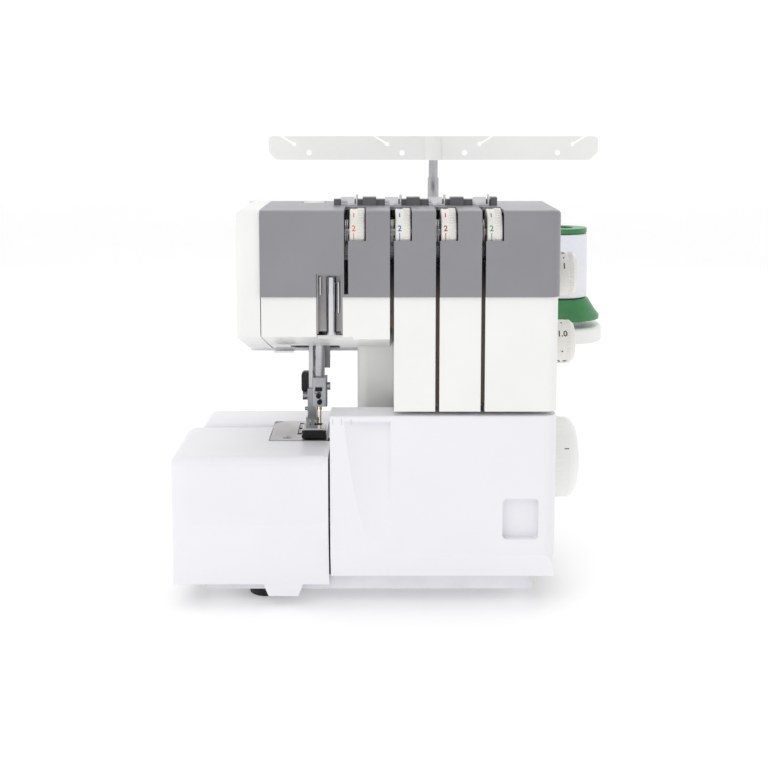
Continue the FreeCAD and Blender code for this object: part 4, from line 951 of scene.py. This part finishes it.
@dataclass
class SpoolStand(SubAssembly):
    """The tray of spool pins, and the cone of thread on one of them."""

    finishes: dict[str, Finish] = field(
        default_factory=lambda: {
            "spool_stand": WHITE_ABS,
            "spool_pins": CHROME,
            "cone_holders": TRAY_ABS,
            "cone_core": GREEN_PP,
            "wound_thread": THREAD,
        }
    )
    wind_pitch: float = 1.3
    wind_depth: float = 0.16
    wind_rows: int = 190
    wind_sides: int = 144

    def details(self) -> Iterable[bpy.types.Object]:
        """Wind the thread as crossed turns in place of its plain sleeve."""
        low, high = box_mm("wound_thread")
        middle = (low + high) / 2
        outer, inner = (high.x - low.x) / 2, (high.x - low.x) / 2 - 9.2
        top, bottom = high.z, low.z
        rows = []
        for row in range(self.wind_rows + 1):
            share = row / self.wind_rows
            height = bottom + share * (top - bottom)
            edge = min(1.0, share * 22, (1 - share) * 22)
            body = outer - 0.25 - 0.6 * share - 1.1 * (1 - math.sqrt(max(0.0, 1 - (1 - edge) ** 2)))
            ring = []
            for step in range(self.wind_sides):
                turn = step * math.tau / self.wind_sides
                climb = height / self.wind_pitch * math.tau
                crossed = max(math.sin(climb + 3 * turn), math.sin(climb * 0.94 - 4 * turn))
                ring.append(Vector((math.cos(turn), math.sin(turn), 0)) * (body + self.wind_depth * crossed))
                ring[-1] += Vector((middle.x, middle.y, height))
            rows.append(ring)
        for height in (top, bottom):
            rows.append(
                [
                    Vector((middle.x + inner * math.cos(turn), middle.y + inner * math.sin(turn), height))
                    for turn in (step * math.tau / self.wind_sides for step in range(self.wind_sides))
                ]
            )
        made = loft(rows, closed=True).piece("thread_windings", THREAD, "thread_cone", "white_thread", 80)
        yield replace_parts(made, "wound_thread")


@dataclass
class ThreadTree(SubAssembly):
    """The telescopic mast and the long thread guide on it."""

    finishes: dict[str, Finish] = field(
        default_factory=lambda: {
            "mast_tube": BAR_STEEL,
            "mid_tube": BAR_STEEL,
            "top_rod": BAR_STEEL,
            "tree_bar": WHITE_ABS,
        }
    )


# ---------------------------------------------------------------- studio


@dataclass
class Studio:
    """A plain pale floor, soft lights and the camera."""

    floor_half: float = 8.0
    wall_height: float = 9.0
    sky: float = 0.76
    floor_glow: float = 0.2
    wall_glow: float = 0.27
    lens: float = 61.95
    place: Point = (-0.0155, -1.0553, 0.3619)
    pitch: float = 7.0
    shift: Pair = (0.0, -0.139)
    lamps: tuple = (
        ("key softbox", (-0.9, -1.3, 1.3), 0.9, 4.2),
        ("top softbox", (0.1, 0.1, 1.9), 1.2, 3.6),
        ("back softbox", (0.5, 1.5, 1.1), 1.2, 1.4),
    )

    def backdrop(self, name: str, corners: list[Point], finish: str, glow: float) -> None:
        """Stretch one flat sheet of background paper.

        Args:
            name: the sheet's name.
            corners: its four corners, in metres.
            finish: the name of its material.
            glow: how much light it gives off itself, as lit paper does.
        """
        mesh = bpy.data.meshes.new(name)
        mesh.from_pydata(corners, [], [(0, 1, 2, 3)])
        paper = Finish(finish, "#F8F8F8", "#F6F6F6", 0.9, 1.5, 0.01, mottle_size=300).material()
        shader = next(node for node in paper.node_tree.nodes if node.type == "BSDF_PRINCIPLED")
        shader.inputs["Emission Color"].default_value = (1.0, 1.0, 1.0, 1.0)
        shader.inputs["Emission Strength"].default_value = glow
        mesh.materials.append(paper)
        sheet = bpy.data.objects.new(name, mesh)
        bpy.context.scene.collection.objects.link(sheet)

    def build(self) -> None:
        """Build the floor, the sky, the lights and the camera."""
        scene = bpy.context.scene
        half, top = self.floor_half, self.wall_height
        floor = [(-half, -half, 0), (half, -half, 0), (half, half, 0), (-half, half, 0)]
        wall = [(-half, half, 0), (half, half, 0), (half, half, top), (-half, half, top)]
        self.backdrop("floor", floor, "background paper, matt", self.floor_glow)
        self.backdrop("wall", wall, "background paper, lit from behind", self.wall_glow)
        world = bpy.data.worlds.new("studio")
        world.use_nodes = True
        world.node_tree.nodes["Background"].inputs["Color"].default_value = (1.0, 1.0, 1.0, 1.0)
        world.node_tree.nodes["Background"].inputs["Strength"].default_value = self.sky
        scene.world = world
        scene.view_settings.view_transform = "Standard"
        for name, place, size, power in self.lamps:
            lamp = bpy.data.lights.new(name, "AREA")
            lamp.size, lamp.energy = size, power
            holder = bpy.data.objects.new(name, lamp)
            holder.location = place
            holder.rotation_euler = (Vector((0, 0, 0.17)) - Vector(place)).to_track_quat("-Z", "Y").to_euler()
            scene.collection.objects.link(holder)
        camera = bpy.data.cameras.new("camera")
        camera.lens, camera.sensor_width = self.lens, 36.0
        camera.shift_x, camera.shift_y = self.shift
        holder = bpy.data.objects.new("camera", camera)
        holder.location = self.place
        holder.rotation_euler = (math.radians(90 - self.pitch), 0, 0)
        scene.collection.objects.link(holder)
        scene.camera = holder
        log.info("studio ready with %d lights", len(self.lamps))


def main() -> None:
    """Build the studio and each sub-assembly."""
    logging.basicConfig(level=logging.INFO, format="%(name)s: %(message)s")
    Studio().build()
    groups = (Covers, Head, TensionUnit, NeedleArea, Drive, SideDials, SpoolStand, ThreadTree)
    dressed = set()
    for group in groups:
        made = group()
        made.build()
        dressed.update(made.finishes)
    bare = sorted(set(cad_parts) - dressed)
    if bare:
        raise RuntimeError(f"no finish for {bare}")


if __name__ == "__main__":
    main()
